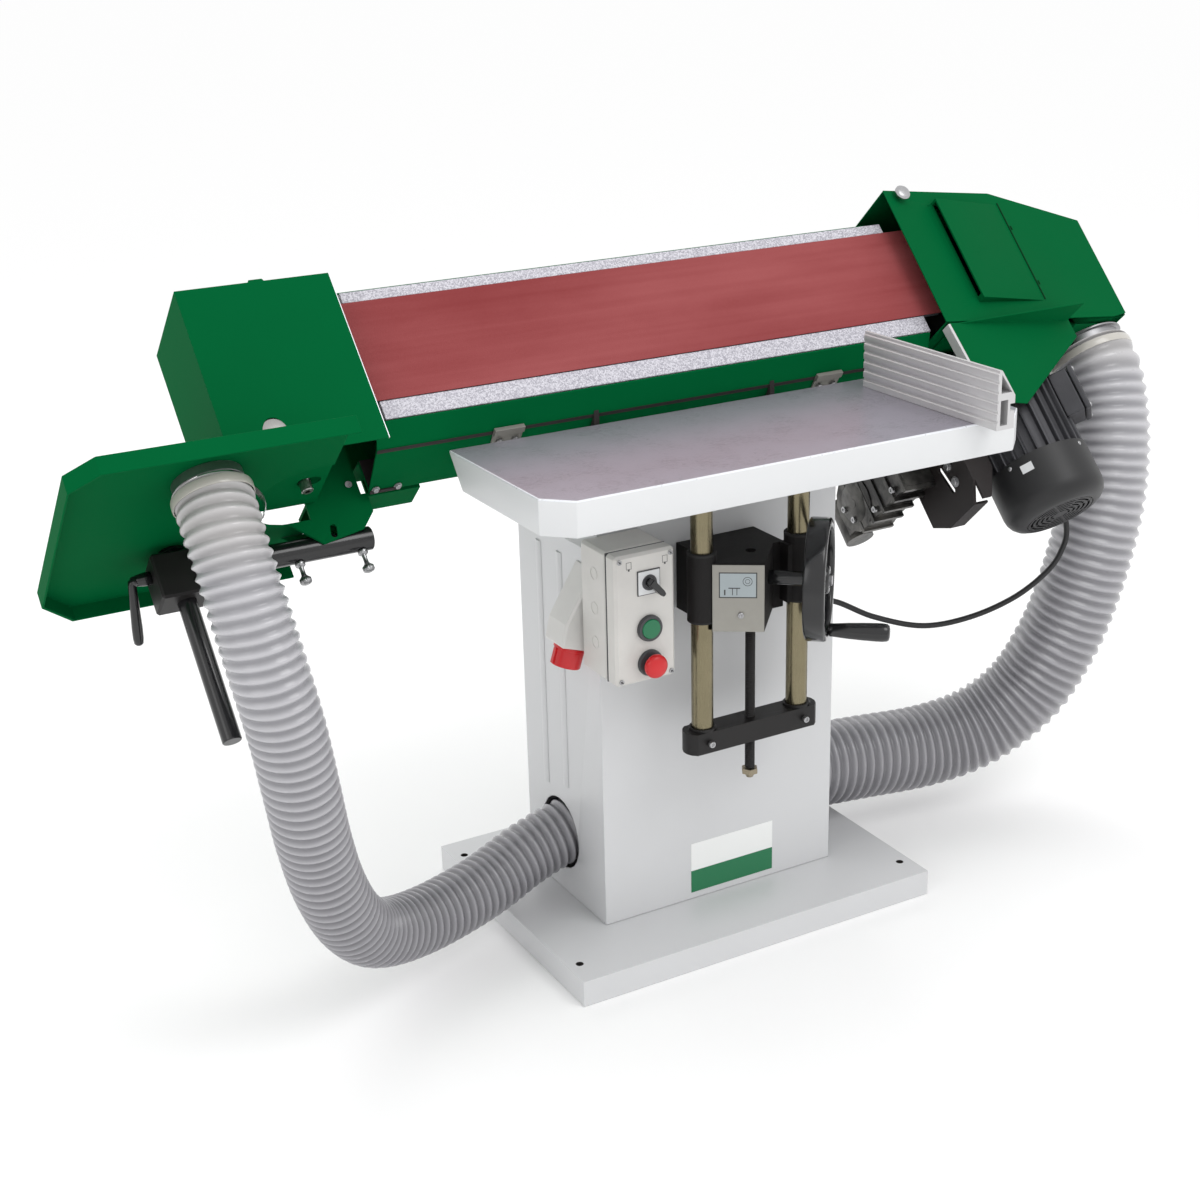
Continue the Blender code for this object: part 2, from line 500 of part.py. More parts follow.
def make_hood():
    t = SHEET
    top, shoulder = 0.2025, 0.1525
    outline = [(HOOD_LEFT, HOOD_SEAM), (0.7000, HOOD_SEAM), (0.7040, -0.0464), (0.8030, -0.0464),
               (HOOD_RIGHT, -0.0310), (HOOD_RIGHT, shoulder), (0.6487, top), (HOOD_LEFT, top)]
    inside = [(HOOD_LEFT - 0.01, HOOD_SEAM + t), (0.7012, HOOD_SEAM + t), (0.7052, -0.0464 + t), (0.8024, -0.0464 + t),
              (HOOD_RIGHT - t, -0.0298), (HOOD_RIGHT - t, shoulder - t * 0.7), (0.6485, top - t),
              (HOOD_LEFT - 0.01, top - t)]
    hood = node("drive_hood", slanted(outline, t + 2 * GAP, HOOD_BACK), "green_enamel", unit_frame)
    cut(hood, slanted(inside, -0.03, HOOD_BACK - t))
    spigot_x, spigot_b = 0.772, 0.097
    cut(hood, disc("z", (spigot_x, spigot_b), 0.0550, -0.08, -0.02, 24))
    cut(hood, disc("z", (DRIVE_X, DRIVE_R), 0.0200, -0.08, -0.02, 16))
    ring = [(0.0650, -0.0467), (0.0650, -0.0497), (0.0590, -0.0497), (0.0590, -0.0610), (0.0565, -0.0610),
            (0.0565, -0.0467)]
    node("drive_spigot", turned(ring, "z", (spigot_x, spigot_b), 24), "bright_steel", unit_frame)

    door = node("drive_door", slanted([(HOOD_LEFT, HOOD_SEAM + 0.001), (0.8030, HOOD_SEAM + 0.001),
                                       (HOOD_RIGHT, -0.0290), (HOOD_RIGHT, shoulder), (0.6487, top),
                                       (HOOD_LEFT, top)], 0.0, None), "green_enamel", unit_frame,
                origin=(HOOD_RIGHT, hood_face(HOOD_RIGHT), 0.06))
    x0, x1, z0, z1 = 0.507, 0.653, -0.002, 0.180
    proud = 0.014
    scoop = [(x0, hood_face(x0) - proud), (x1, hood_face(x1) - 0.0005), (x1, hood_face(x1) + 0.001),
             (x0, hood_face(x0) + 0.001)]
    fuse(door, prism(scoop, "z", z0, z1))
    hollow = [(x0 - 0.01, hood_face(x0) - proud + 0.003), (x0 + 0.002, hood_face(x0) - proud + 0.003),
              (x1 - 0.030, hood_face(x1 - 0.030) - 0.0005), (x1 - 0.030, hood_face(x1 - 0.030) + 0.01),
              (x0 + 0.002, hood_face(x0) + 0.01), (x0 + 0.002, hood_face(x0) - 0.0005),
              (x0 - 0.01, hood_face(x0) - 0.0005)]
    cut(door, prism(hollow, "z", z0 + 0.008, z1 - 0.004))
    cut(door, disc("y", (0.4445, 0.1915), 0.0043, -0.1, 0.1, 12))
    knob = [(0, -0.0140), (0.0080, -0.0140), (0.0125, -0.0110), (0.0125, -0.0070), (0.0050, -0.0035), (0.0050, 0),
            (0.0040, 0), (0.0040, 0.0120), (0, 0.0120)]
    depth = hood_face(0.4445) - 0.0012
    node("door_knob", turned([(r, h + depth) for r, h in knob], "y", (0.4445, 0.1915), 16), "bright_steel",
         unit_frame, origin=(0.4445, depth, 0.1915))

    flap = [(0.4197, HOOD_SEAM - 0.001), (0.4256, -0.1728), (0.5030, -0.1823), (0.6900, -0.0700), (0.6900, HOOD_SEAM - 0.001)]
    skirt = node("drive_flap", slanted(flap, 0.0006, None), "green_enamel", unit_frame)
    fuse(skirt, box((0.4360, 0.6880), (hood_face(0.4360) + 0.0015, 0.050), (HOOD_SEAM - 0.0028, HOOD_SEAM - 0.001)))


def make_drive():
    plate = node("motor_mount", box((0.4130, 0.6760), (0.0520, 0.2000), (-0.0600, -0.0400)), "black_enamel",
                 unit_frame)
    cut(plate, box((0.4, 0.7), (0.05, 0.19), (-0.0540, -0.03)))
    cut(plate, disc("z", (DRIVE_X, DRIVE_R), 0.0200, -0.1, 0.0, 16))
    fins, core = 26, 0.0715
    outline = []
    for i in range(fins):
        for step, radius in ((0.0, MOTOR_R - 0.001), (0.28, MOTOR_R - 0.001), (0.40, core), (0.88, core)):
            angle = 2 * math.pi * (i + step) / fins
            outline.append((DRIVE_X + radius * math.cos(angle), DRIVE_R + radius * math.sin(angle)))
    body = node("motor_body", prism(outline, "z", MOTOR_LOW, MOTOR_TOP), "cast_grey", unit_frame)
    fuse(body, disc("z", (DRIVE_X, DRIVE_R), MOTOR_R + 0.004, MOTOR_TOP - 0.012, MOTOR_TOP, 24))
    cut(body, disc("z", (DRIVE_X, DRIVE_R), 0.0145, -0.4, 0.0, 16))
    side = (Matrix.Translation((DRIVE_X, DRIVE_R, 0)), Matrix.Rotation(math.radians(-38), 4, "Z"))
    node("terminal_box", placed(box((0.0700, 0.1100), (-0.0310, 0.0310), (-0.2060, -0.1300)), *side), "cast_grey",
         unit_frame)
    cut(body, placed(box((0.0640, 0.1120), (-0.0320, 0.0320), (-0.2070, -0.1290)), *side))
    relief = [(0.4100, -0.0300), (0.4200, -0.1900), (0.5050, -0.1950), (0.7000, -0.0790), (0.7000, -0.0300)]
    cut(body, slanted(relief, -0.050, None, 0.0545))
    cap, t = MOTOR_R + 0.0005, 0.0025
    low = -0.3320
    shell = [(cap, MOTOR_LOW - GAP), (cap, low + 0.022), (cap - 0.006, low + 0.008), (cap - 0.022, low),
             (0.0120, low), (0.0120, low + t), (cap - 0.023, low + t), (cap - 0.008, low + 0.010),
             (cap - t, low + 0.023), (cap - t, MOTOR_LOW - GAP)]
    node("fan_cover", turned(shell, "z", (DRIVE_X, DRIVE_R), 28), "black_plastic", unit_frame)
    fan = node("cooling_fan", turned([(0.0123, -0.296), (0.0680, -0.296), (0.0680, -0.292), (0.0200, -0.292),
                                      (0.0200, -0.270), (0.0123, -0.270)], "z", (DRIVE_X, DRIVE_R), 20),
               "black_plastic", unit_frame, origin=(DRIVE_X, DRIVE_R, -0.28))
    for i in range(6):
        blade = box((0.018, 0.065), (-0.0012, 0.0012), (-0.293, -0.262))
        fuse(fan, placed(blade, side[0], Matrix.Rotation(math.radians(60 * i), 4, "Z")))
    fuse(body, box((0.590, 0.646), (0.105, 0.153), (-0.232, -0.206)))
    fuse(body, disc("z", (0.636, 0.143), 0.0080, -0.2362, -0.220, 12))

    bracket = [(0.0700, -0.0605), (0.2040, -0.0605), (0.2040, -0.2630), (0.1660, -0.2830), (0.0930, -0.2810),
               (0.0700, -0.2500)]
    made = node("gear_bracket", prism(bracket, "x", 0.4200, 0.4250), "black_enamel", unit_frame)
    lip = [(0.1660, -0.2830), (0.0930, -0.2810), (0.0930, -0.2770), (0.1650, -0.2790)]
    fuse(made, prism(lip, "x", 0.4240, 0.4480))
    fuse(made, prism([(0.4240, -0.0800), (0.4655, -0.0800), (0.4655, -0.2350), (0.4400, -0.2810), (0.4240, -0.2810)],
                     "y", 0.0700, 0.0750))
    slot = arc((0.122, -0.240), 0.0045, 180, 360, 4) + arc((0.130, -0.200), 0.0045, 0, 180, 4)
    cut(made, prism(slot, "x", 0.41, 0.43))
    housing = node("gear_housing", disc("x", (0.286, -0.163), 0.046, 0.3620, 0.4197, 16), "cast_grey", unit_frame)
    fuse(housing, box((0.3640, 0.4197), (0.150, 0.300), (-0.206, -0.120)))
    for i in range(5):
        fuse(housing, box((0.3610, 0.4190), (0.152 + 0.034 * i, 0.159 + 0.034 * i), (-0.213, -0.113)))
    fuse(housing, disc("z", (0.3920, 0.350), 0.024, -0.202, -0.130, 16))
    fuse(housing, box((0.3700, 0.4140), (0.290, 0.345), (-0.195, -0.137)))


def make_aux_table():
    x0, x1, y0, y1 = -0.9220, -0.5740, -0.1450, 0.2540
    c0, c1 = 0.034, 0.060
    high, low = AUX_TOP, AUX_TOP - AUX_FLANGE
    outline = [(x0, y0 + c0), (x0 + c0, y0), (x1, y0), (x1, y1), (x0 + c1 * 0.75, y1), (x0, y1 - c1)]
    table = node("aux_table", prism(outline, "z", low, high), "green_enamel", unit_frame)
    t = AUX_SHEET
    inside = [(x0 + t, y0 + c0 + t), (x0 + c0 + t, y0 + t), (x1 + 0.01, y0 + t), (x1 + 0.01, y1 - t),
              (x0 + c1 * 0.75 + t, y1 - t), (x0 + t, y1 - c1 - t)]
    cut(table, prism(inside, "z", low - 0.01, high - t))
    notch = arc((IDLER_X, IDLER_R), 0.078, 90, 270, 12)
    notch = [(x1 + 0.02, IDLER_R + 0.078)] + notch + [(x1 + 0.02, IDLER_R - 0.078)]
    cut(table, prism(notch, "z", low - 0.02, high + 0.02))
    cut(table, disc("z", (-0.743, -0.048), 0.0400, low - 0.01, high + 0.01, 24))
    under = high - t - GAP
    collar = [(0.0440, under), (0.0440, under - 0.012), (0.0415, under - 0.012), (0.0415, under)]
    node("aux_spigot", turned(collar, "z", (-0.743, -0.048), 24), "bright_steel", unit_frame)
    rod = [(0, under), (0.0180, under), (0.0180, under - 0.006), (ROD_R, under - 0.008), (ROD_R, -0.3600), (0, -0.3600)]
    node("aux_rod", turned(rod, "z", (ROD_X, ARM_TUBE_B), 20), "black_enamel", unit_frame,
         origin=(ROD_X, ARM_TUBE_B, -0.13))
    block = node("clamp_block", box((-0.7930, -0.7280), (0.1120, 0.1680), (-0.1660, -0.1040)), "black_enamel",
                 unit_frame, bevel=0.003)
    cut(block, disc("z", (ROD_X, ARM_TUBE_B), ROD_R + GAP, -0.2, 0.0, 20))
    tube = [(ARM_TUBE_R, -0.7277), (ARM_TUBE_R, -0.4950), (0.0125, -0.4950), (0.0125, -0.7277)]
    node("arm_tube", turned(tube, "x", (ARM_TUBE_B, ARM_TUBE_W), 20), "black_enamel", unit_frame)

    lever_x = -0.7933
    hub = disc("x", (0.140, -0.1240), 0.0090, lever_x - 0.022, lever_x, 14)
    lever = node("clamp_lever", hub, "black_plastic", unit_frame, origin=(lever_x, 0.140, -0.124))
    grip = turned([(0, -0.086), (0.0060, -0.084), (0.0070, -0.060), (0.0052, 0.000), (0, 0.002)], "z", (0, 0), 12)
    fuse(lever, placed(grip, Matrix.Translation((lever_x - 0.024, 0.140, -0.124)), Matrix.Rotation(LEAN, 4, "X")))

    front, rear = ARM_TUBE_B - ARM_TUBE_R - GAP, 0.1605
    plate = [(-0.4945, 0.0020), (-0.4945, -0.0700), (-0.4860, -0.0745), (-0.4860, -0.0980), (-0.5060, -0.1200),
             (-0.5660, -0.1310), (-0.6050, -0.0940), (-0.5730, -0.0940), (-0.5730, 0.0020)]
    fork = node("arm_bracket", prism(plate, "y", front - 0.004, rear + 0.004), "green_enamel", unit_frame)
    fuse(fork, box((-0.5730, -0.4100), (front - 0.004, rear + 0.004), (-0.0755, -0.0705)))
    fuse(fork, box((-0.4890, -0.4100), (rear, rear + 0.004), (-0.0730, 0.0240)))
    cut(fork, box((-0.7, -0.47), (front, rear), (-0.2, -0.0755)))
    cut(fork, box((-0.7, -0.47), (front, rear + 0.01), (-0.0705, 0.03)))
    slot = arc((-0.549, -0.121), 0.0045, 180, 360, 4) + arc((-0.547, -0.110), 0.0045, 0, 180, 4)
    cut(fork, prism(slot, "y", front - 0.01, rear + 0.01))
    for number, x in enumerate((-0.600, -0.512)):
        top = ARM_TUBE_W - ARM_TUBE_R - GAP
        screw = [(0, top), (0.0068, top), (0.0068, top - 0.005), (0.0032, top - 0.007), (0.0032, top - 0.019),
                 (0.0080, top - 0.024), (0.0080, top - 0.028), (0.0050, top - 0.031), (0, top - 0.031)]
        node(f"thumb_screw_{number + 1}", turned(screw, "z", (x, ARM_TUBE_B), 12), "bright_steel", unit_frame,
             origin=(x, ARM_TUBE_B, top))


# ---------------------------------------------------------------- hoses and cable
def make_cords():
    start = unit_point(-0.743, -0.048, AUX_TOP - AUX_SHEET - 0.0170)
    left = [tuple(start), (-0.744, -0.198, 0.772), (-0.737, -0.231, 0.700), (-0.722, -0.244, 0.612),
            (-0.704, -0.239, 0.526), (-0.686, -0.222, 0.431), (-0.667, -0.196, 0.345), (-0.640, -0.166, 0.256),
            (-0.600, -0.130, 0.176), (-0.548, -0.094, 0.124), (-0.462, -0.052, 0.098), (-0.352, -0.012, 0.098),
            (-0.262, 0.012, 0.119), (-0.165, 0.020, 0.143)]
    cord("left_hose", left, LEFT_HOSE_R, 0.050, "hose_plastic")
    start = unit_point(0.772, 0.097, -0.0645)
    right = [tuple(start), (0.771, -0.052, 0.716), (0.763, -0.083, 0.640), (0.753, -0.097, 0.549),
             (0.738, -0.098, 0.466), (0.719, -0.089, 0.372), (0.694, -0.074, 0.285), (0.652, -0.050, 0.198),
             (0.583, -0.020, 0.138), (0.488, 0.004, 0.114), (0.350, 0.016, 0.120), (0.170, 0.018, 0.137)]
    cord("right_hose", right, RIGHT_HOSE_R, 0.055, "hose_plastic")
    start = unit_point(0.636, 0.143, -0.2385)
    cable = [tuple(start), (0.648, -0.128, 0.510), (0.634, -0.134, 0.470), (0.606, -0.131, 0.438),
             (0.559, -0.112, 0.400), (0.495, -0.083, 0.371), (0.430, -0.048, 0.359), (0.362, -0.009, 0.376),
             (0.300, 0.014, 0.408), (0.240, 0.020, 0.420), (0.185, 0.020, 0.420)]
    cord("motor_cable", cable, 0.0045, 0.020, "cable_rubber")


make_stand()
make_pivots()
make_controls()
make_lift()
make_table()
make_belt_run()
make_guards()
make_idler_cover()
make_hood()
make_drive()
make_aux_table()
make_cords()
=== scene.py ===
"""Looks of the edge belt sander: its paint, metal, hoses, fasteners and studio."""
import math

import bmesh
import bpy
from mathutils import Matrix, Vector


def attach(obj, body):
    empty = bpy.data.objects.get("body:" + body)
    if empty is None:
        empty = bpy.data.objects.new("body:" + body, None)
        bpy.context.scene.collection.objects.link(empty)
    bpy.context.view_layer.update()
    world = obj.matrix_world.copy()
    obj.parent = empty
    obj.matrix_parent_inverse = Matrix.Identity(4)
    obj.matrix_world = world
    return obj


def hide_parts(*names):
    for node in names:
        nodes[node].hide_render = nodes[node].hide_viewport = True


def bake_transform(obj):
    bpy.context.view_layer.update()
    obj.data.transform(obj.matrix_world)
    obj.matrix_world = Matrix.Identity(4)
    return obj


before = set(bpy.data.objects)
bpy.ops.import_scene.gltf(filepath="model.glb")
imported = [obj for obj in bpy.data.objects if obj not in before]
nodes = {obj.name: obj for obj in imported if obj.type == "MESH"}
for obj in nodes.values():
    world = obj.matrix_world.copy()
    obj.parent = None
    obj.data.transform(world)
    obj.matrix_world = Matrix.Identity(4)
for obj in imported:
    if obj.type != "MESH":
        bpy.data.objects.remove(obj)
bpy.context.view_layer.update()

# ---------------------------------------------------------------- sizes, in metres
GAP = 0.0003
LEAN = math.radians(43.3)
UNIT = Matrix.Translation((0, -0.0447, 0.8646)) @ Matrix.Rotation(-LEAN, 4, "X")
BELT_W, BELT_T = 0.150, 0.0012
DRIVE_X, DRIVE_R = 0.549, 0.075
IDLER_X, IDLER_R = -0.590, 0.0515
DRIVE, IDLER = (DRIVE_X, DRIVE_R), (IDLER_X, IDLER_R)
PIVOT_B, PIVOT_W = 0.180, 0.0318
HOOD_FRONT, HOOD_SLOPE, HOOD_LEFT = -0.035, 0.19, 0.4157
MOTOR_R, MOTOR_TOP, MOTOR_LOW = 0.0800, -0.0606, -0.246
WHEEL = Vector((0.064, -0.2785, 0.582))
WHEEL_TURN, WHEEL_R = math.radians(-41), 0.086
POSTS = (-0.085, 0.075)
POST_Y, POST_R = -0.204, 0.0155
SPINDLE_X = -0.005
AUX_TOP, AUX_SHEET = -0.090, 0.003
ARM_B, ARM_W, ARM_R = 0.140, -0.1265, 0.016
ROD_X, ROD_R = -0.758, 0.0125
LEFT_SPIGOT, RIGHT_SPIGOT, GLAND = (-0.743, -0.048), (0.772, 0.097), (0.636, 0.143)
LEFT_HOSE_R, RIGHT_HOSE_R, CABLE_R = 0.0490, 0.0690, 0.0045
TABLE_TOP, TABLE_LOW = 0.794, 0.746
BOX_FRONT, BUTTON_X = -0.2145, -0.176
SWITCH_Z, START_Z, STOP_Z = 0.607, 0.541, 0.4905
OUTLET_Z = 0.22
PLANES = {"x": (1, 2, 0), "y": (0, 2, 1), "z": (0, 1, 2)}    # the two axes across each axis, and the axis


def at(x, back, up):
    """World place of a point in the tilting unit's frame."""
    return UNIT @ Vector((x, back, up))


def hood_face(x):
    """Depth of the drive hood's receding front behind the belt face."""
    return HOOD_FRONT + HOOD_SLOPE * (x - HOOD_LEFT)


# ---------------------------------------------------------------- camera
def make_camera():
    azimuth, elevation, roll = math.radians(28.866), math.radians(20.688), math.radians(1.469)
    view = Vector((math.sin(azimuth) * math.cos(elevation), math.cos(azimuth) * math.cos(elevation),
                   -math.sin(elevation)))
    level = Vector((math.cos(azimuth), -math.sin(azimuth), 0))
    down = view.cross(level)
    right = math.cos(roll) * level + math.sin(roll) * down
    up = -(math.cos(roll) * down - math.sin(roll) * level)
    turn = Matrix((right, up, -view)).transposed().to_4x4()
    data = bpy.data.cameras.new("camera")
    data.lens, data.sensor_width = 56.70, 36.0
    camera = bpy.data.objects.new("camera", data)
    camera.matrix_world = Matrix.Translation((-1.3805, -2.2642, 1.4801)) @ turn
    bpy.context.scene.collection.objects.link(camera)
    bpy.context.scene.camera = camera


make_camera()


# ---------------------------------------------------------------- shader arithmetic
class Mask:
    """A shader value that takes part in arithmetic."""

    def __init__(self, paint, socket):
        self.paint = paint
        self.socket = socket

    def _maths(self, operation, first, second):
        return self.paint.node("ShaderNodeMath", {"operation": operation}, {0: first, 1: second})

    def __add__(self, other):
        return self._maths("ADD", self, other)

    def __sub__(self, other):
        return self._maths("SUBTRACT", self, other)

    def __rsub__(self, other):
        return self._maths("SUBTRACT", other, self)

    def __mul__(self, other):
        return self._maths("MULTIPLY", self, other)

    __radd__, __rmul__ = __add__, __mul__


class Paint:
    """One finish: a Principled shader and the nodes that vary it over the surface."""

    def __init__(self, name, colour, roughness, metallic=0.0, coat=0.0, specular=0.5):
        self.material = bpy.data.materials.new(name)
        self.material.use_nodes = True
        self.tree = self.material.node_tree
        self.shader = self.tree.nodes["Principled BSDF"]
        self.colour = colour
        self.place = self.node("ShaderNodeTexCoord", out="Object")
        self.set("Base Color", colour)
        self.set("Roughness", roughness)
        self.set("Metallic", metallic)
        self.set("Coat Weight", coat)
        self.set("Coat Roughness", 0.12)
        self.set("Specular IOR Level", specular)

    def plug(self, socket, value):
        if isinstance(value, Mask):
            self.tree.links.new(value.socket, socket)
        elif isinstance(value, tuple) and socket.type == "RGBA":
            socket.default_value = (*value, 1.0)
        else:
            socket.default_value = value

    def set(self, name, value):
        self.plug(self.shader.inputs[name], value)
        return self

    def node(self, kind, settings=None, sockets=None, out=0):
        made = self.tree.nodes.new(kind)
        for name, value in (settings or {}).items():
            if name == "stops":
                for stop, (position, shade) in zip(list(made.color_ramp.elements), value):
                    stop.position, stop.color = position, (shade, shade, shade, 1.0)
            else:
                setattr(made, name, value)
        for name, value in (sockets or {}).items():
            self.plug(made.inputs[name], value)
        return Mask(self, made.outputs[out])

    def stretched(self, x, y, z):
        """The surface's own place, scaled unevenly for grain that runs one way."""
        return self.node("ShaderNodeMapping", None, {"Vector": self.place, "Scale": (x, y, z)})

    def noise(self, scale, detail=3.0, rough=0.55, place=None):
        return self.node("ShaderNodeTexNoise", None, {"Vector": place or self.place, "Scale": scale,
                                                      "Detail": detail, "Roughness": rough})

    def cells(self, scale, out="Distance"):
        return self.node("ShaderNodeTexVoronoi", None, {"Vector": self.place, "Scale": scale}, out)

    def step(self, value, low, high):
        """0 below low, 1 above high, and a ramp between."""
        return self.node("ShaderNodeMapRange", None, {"Value": value, "From Min": low, "From Max": high})

    def along(self, axis):
        return self.node("ShaderNodeSeparateXYZ", None, {"Vector": self.place}, axis)

    def mixed(self, mask, first, second):
        return self.node("ShaderNodeMix", {"data_type": "RGBA"}, {"Factor": mask, 6: first, 7: second}, 2)

    def shade(self, mask, darker, lighter=1.0):
        """The finish's colour, darkened and lightened by a mask."""
        low = tuple(c * darker for c in self.colour)
        high = tuple(min(1.0, c * lighter) for c in self.colour)
        return self.mixed(mask, low, high)

    def relief(self, height, strength, distance):
        return self.set("Normal", self.node("ShaderNodeBump", None, {"Height": height, "Strength": strength,
                                                                    "Distance": distance}))


PAINTS = {}


def enamel(name, colour, roughness, peel=0.10, mottle=0.985, shine=0.35):
    """Sprayed and baked enamel: orange peel, faint clouding and a few fine rubs."""
    paint = Paint(name, colour, roughness, specular=shine)
    cloud = paint.noise(7.0, 4.0)
    rub = paint.step(paint.noise(60.0, 2.0, 0.6, paint.stretched(1.0, 6.0, 1.0)), 0.62, 0.75)
    paint.set("Base Color", paint.shade(paint.step(cloud, 0.25, 0.75), mottle, 1.01))
    paint.set("Roughness", cloud * 0.08 + rub * 0.05 + (roughness - 0.04))
    paint.relief(paint.noise(420.0, 2.0, 0.5), peel, 0.0006)
    PAINTS[name] = paint.material
    return paint


def plastic(name, colour, roughness, grain=0.06, scale=900.0, coat=0.0):
    """Moulded plastic with a fine spark-eroded texture."""
    paint = Paint(name, colour, roughness, coat=coat)
    dust = paint.noise(18.0, 4.0)
    paint.set("Base Color", paint.shade(paint.step(dust, 0.3, 0.75), 0.95, 1.06))
    paint.set("Roughness", dust * 0.14 + (roughness - 0.07))
    paint.relief(paint.cells(scale), grain, 0.0004)
    PAINTS[name] = paint.material
    return paint


def metal(name, colour, roughness, grain, metallic=1.0, stain=0.90, depth=0.04):
    """Ground, turned or plated metal; grain holds the stretch of its marks along x, y and z."""
    paint = Paint(name, colour, roughness, metallic=metallic)
    marks = paint.noise(120.0, 3.0, 0.65, paint.stretched(*grain))
    spots = paint.noise(14.0, 4.0, 0.6)
    paint.set("Base Color", paint.shade(paint.step(spots * 0.6 + marks * 0.4, 0.32, 0.68), stain, 1.05))
    paint.set("Roughness", marks * 0.22 + spots * 0.10 + (roughness - 0.16))
    paint.relief(marks, depth, 0.0005)
    PAINTS[name] = paint.material
    return paint


def make_paints():
    enamel("white_enamel", (0.62, 0.625, 0.635), 0.34, shine=0.5)
    enamel("table_enamel", (0.70, 0.71, 0.72), 0.36, shine=0.5)
    enamel("green_enamel", (0.0, 0.108, 0.030), 0.62, mottle=0.95, shine=0.02)
    # Painted shade: a darker copy of the green, for the shadow lines of the door seams.
    enamel("green_shade", (0.0, 0.030, 0.008), 0.6, shine=0.05)
    enamel("black_enamel", (0.012, 0.011, 0.011), 0.44, shine=0.30)
    enamel("arm_enamel", (0.024, 0.020, 0.020), 0.50, shine=0.25)
    enamel("block_crackle", (0.010, 0.009, 0.009), 0.60, peel=0.45, shine=0.22)
    plastic("black_gloss", (0.007, 0.007, 0.008), 0.20, grain=0.02, coat=0.2)
    plastic("fan_black", (0.010, 0.010, 0.011), 0.46, grain=0.10)
    plastic("box_plastic", (0.60, 0.585, 0.560), 0.40, grain=0.12)
    plastic("inlet_plastic", (0.66, 0.65, 0.63), 0.40)
    # Dark grey plastic for rings, the lid gasket and marks, and also the painted shadow round the switch plate.
    plastic("ring_plastic", (0.045, 0.046, 0.050), 0.40)
    plastic("cuff_clear", (0.50, 0.48, 0.44), 0.24, coat=0.4)
    plastic("red_plastic", (0.56, 0.006, 0.010), 0.32, grain=0.02, coat=0.1)
    plastic("green_plastic", (0.003, 0.155, 0.060), 0.32, grain=0.02, coat=0.1)
    plastic("cable_jacket", (0.010, 0.010, 0.011), 0.42, grain=0.05)
    plastic("gasket_rubber", (0.012, 0.012, 0.012), 0.80)
    # Painted shade: near-black for hollows and gaps that are dark only because the light does not reach into them.
    plastic("dark_inside", (0.020, 0.016, 0.015), 0.85)
    plastic("roller_rubber", (0.030, 0.029, 0.028), 0.75, grain=0.2, scale=500.0)
    metal("table_ground", (0.36, 0.345, 0.40), 0.30, (1.0, 30.0, 1.0), metallic=0.45, stain=0.94, depth=0.02)
    # Painted highlight: a pale metal for narrow edges that catch the light.
    metal("edge_bright", (0.86, 0.88, 0.92), 0.30, (1.0, 1.0, 1.0), metallic=0.3)
    metal("post_steel", (0.235, 0.205, 0.130), 0.27, (6.0, 6.0, 0.3), stain=0.80, depth=0.006)
    metal("turned_steel", (0.40, 0.39, 0.38), 0.30, (20.0, 4.0, 4.0))
    metal("zinc_plate", (0.46, 0.46, 0.47), 0.30, (3.0, 3.0, 3.0), stain=0.72)
    metal("clamp_steel", (0.62, 0.62, 0.64), 0.22, (4.0, 4.0, 30.0), stain=0.8)
    metal("fence_aluminium", (0.58, 0.575, 0.58), 0.46, (60.0, 1.0, 60.0), metallic=0.45, stain=0.95)
    metal("spigot_zinc", (0.36, 0.36, 0.37), 0.40, (6.0, 6.0, 6.0), stain=0.80)
    metal("idler_alloy", (0.50, 0.50, 0.51), 0.32, (1.0, 1.0, 30.0))
    metal("bracket_grey", (0.235, 0.225, 0.205), 0.46, (4.0, 4.0, 4.0), metallic=0.4)
    metal("bronze_nut", (0.30, 0.26, 0.19), 0.36, (4.0, 4.0, 4.0))

    spangle = Paint("rail_spangle", (0.50, 0.49, 0.54), 0.52, metallic=0.15)
    grains = spangle.noise(900.0, 2.0, 0.7)
    flakes = spangle.cells(560.0, "Color")
    value = spangle.node("ShaderNodeSeparateColor", None, {"Color": flakes}, "Red")
    mask = spangle.step(grains * 0.75 + value * 0.35, 0.38, 0.70)
    spangle.set("Base Color", spangle.mixed(mask, (0.30, 0.29, 0.335), (0.66, 0.65, 0.70)))
    spangle.set("Roughness", value * 0.25 + 0.35)
    spangle.relief(grains, 0.20, 0.0004)
    PAINTS["rail_spangle"] = spangle.material

    grit = Paint("belt_grit", (0.30, 0.060, 0.058), 0.85, specular=0.15)
    grain = grit.noise(1500.0, 2.0, 0.7)
    sharp = grit.cells(1300.0)
    cloud = grit.noise(9.0, 4.0, 0.55, grit.stretched(0.35, 1.0, 1.0))
    wear_and_low_darkening = grit.noise(28.0, 2.0, 0.5, grit.stretched(0.05, 2.0, 2.0))
    tone = grit.step(grain * 0.35 + cloud * 0.40 + wear_and_low_darkening * 0.25, 0.36, 0.64)
    grit.set("Base Color", grit.mixed(tone, (0.235, 0.040, 0.042), (0.345, 0.088, 0.090)))
    grit.set("Roughness", sharp * 0.3 + 0.68)
    grit.relief(grain * 0.6 + sharp * 0.6, 0.55, 0.0005)
    PAINTS["belt_grit"] = grit.material

    cast = Paint("motor_cast", (0.050, 0.050, 0.056), 0.40, metallic=0.4)
    skin = cast.noise(240.0, 3.0, 0.6)
    cast.set("Base Color", cast.shade(cast.step(cast.noise(20.0, 4.0), 0.3, 0.7), 0.80, 1.15))
    cast.set("Roughness", skin * 0.2 + 0.36)
    cast.relief(skin, 0.30, 0.0006)
    PAINTS["motor_cast"] = cast.material

    rough = Paint("gear_cast", (0.06, 0.058, 0.055), 0.34, metallic=0.4)
    skin = rough.noise(150.0, 4.0, 0.65)
    grease = rough.step(rough.noise(11.0, 4.0, 0.6), 0.45, 0.62)
    rough.set("Base Color", rough.mixed(grease, (0.022, 0.021, 0.020), (0.135, 0.130, 0.120)))
    rough.set("Roughness", skin * 0.25 + 0.20)
    rough.relief(skin, 0.5, 0.0010)
    PAINTS["gear_cast"] = rough.material

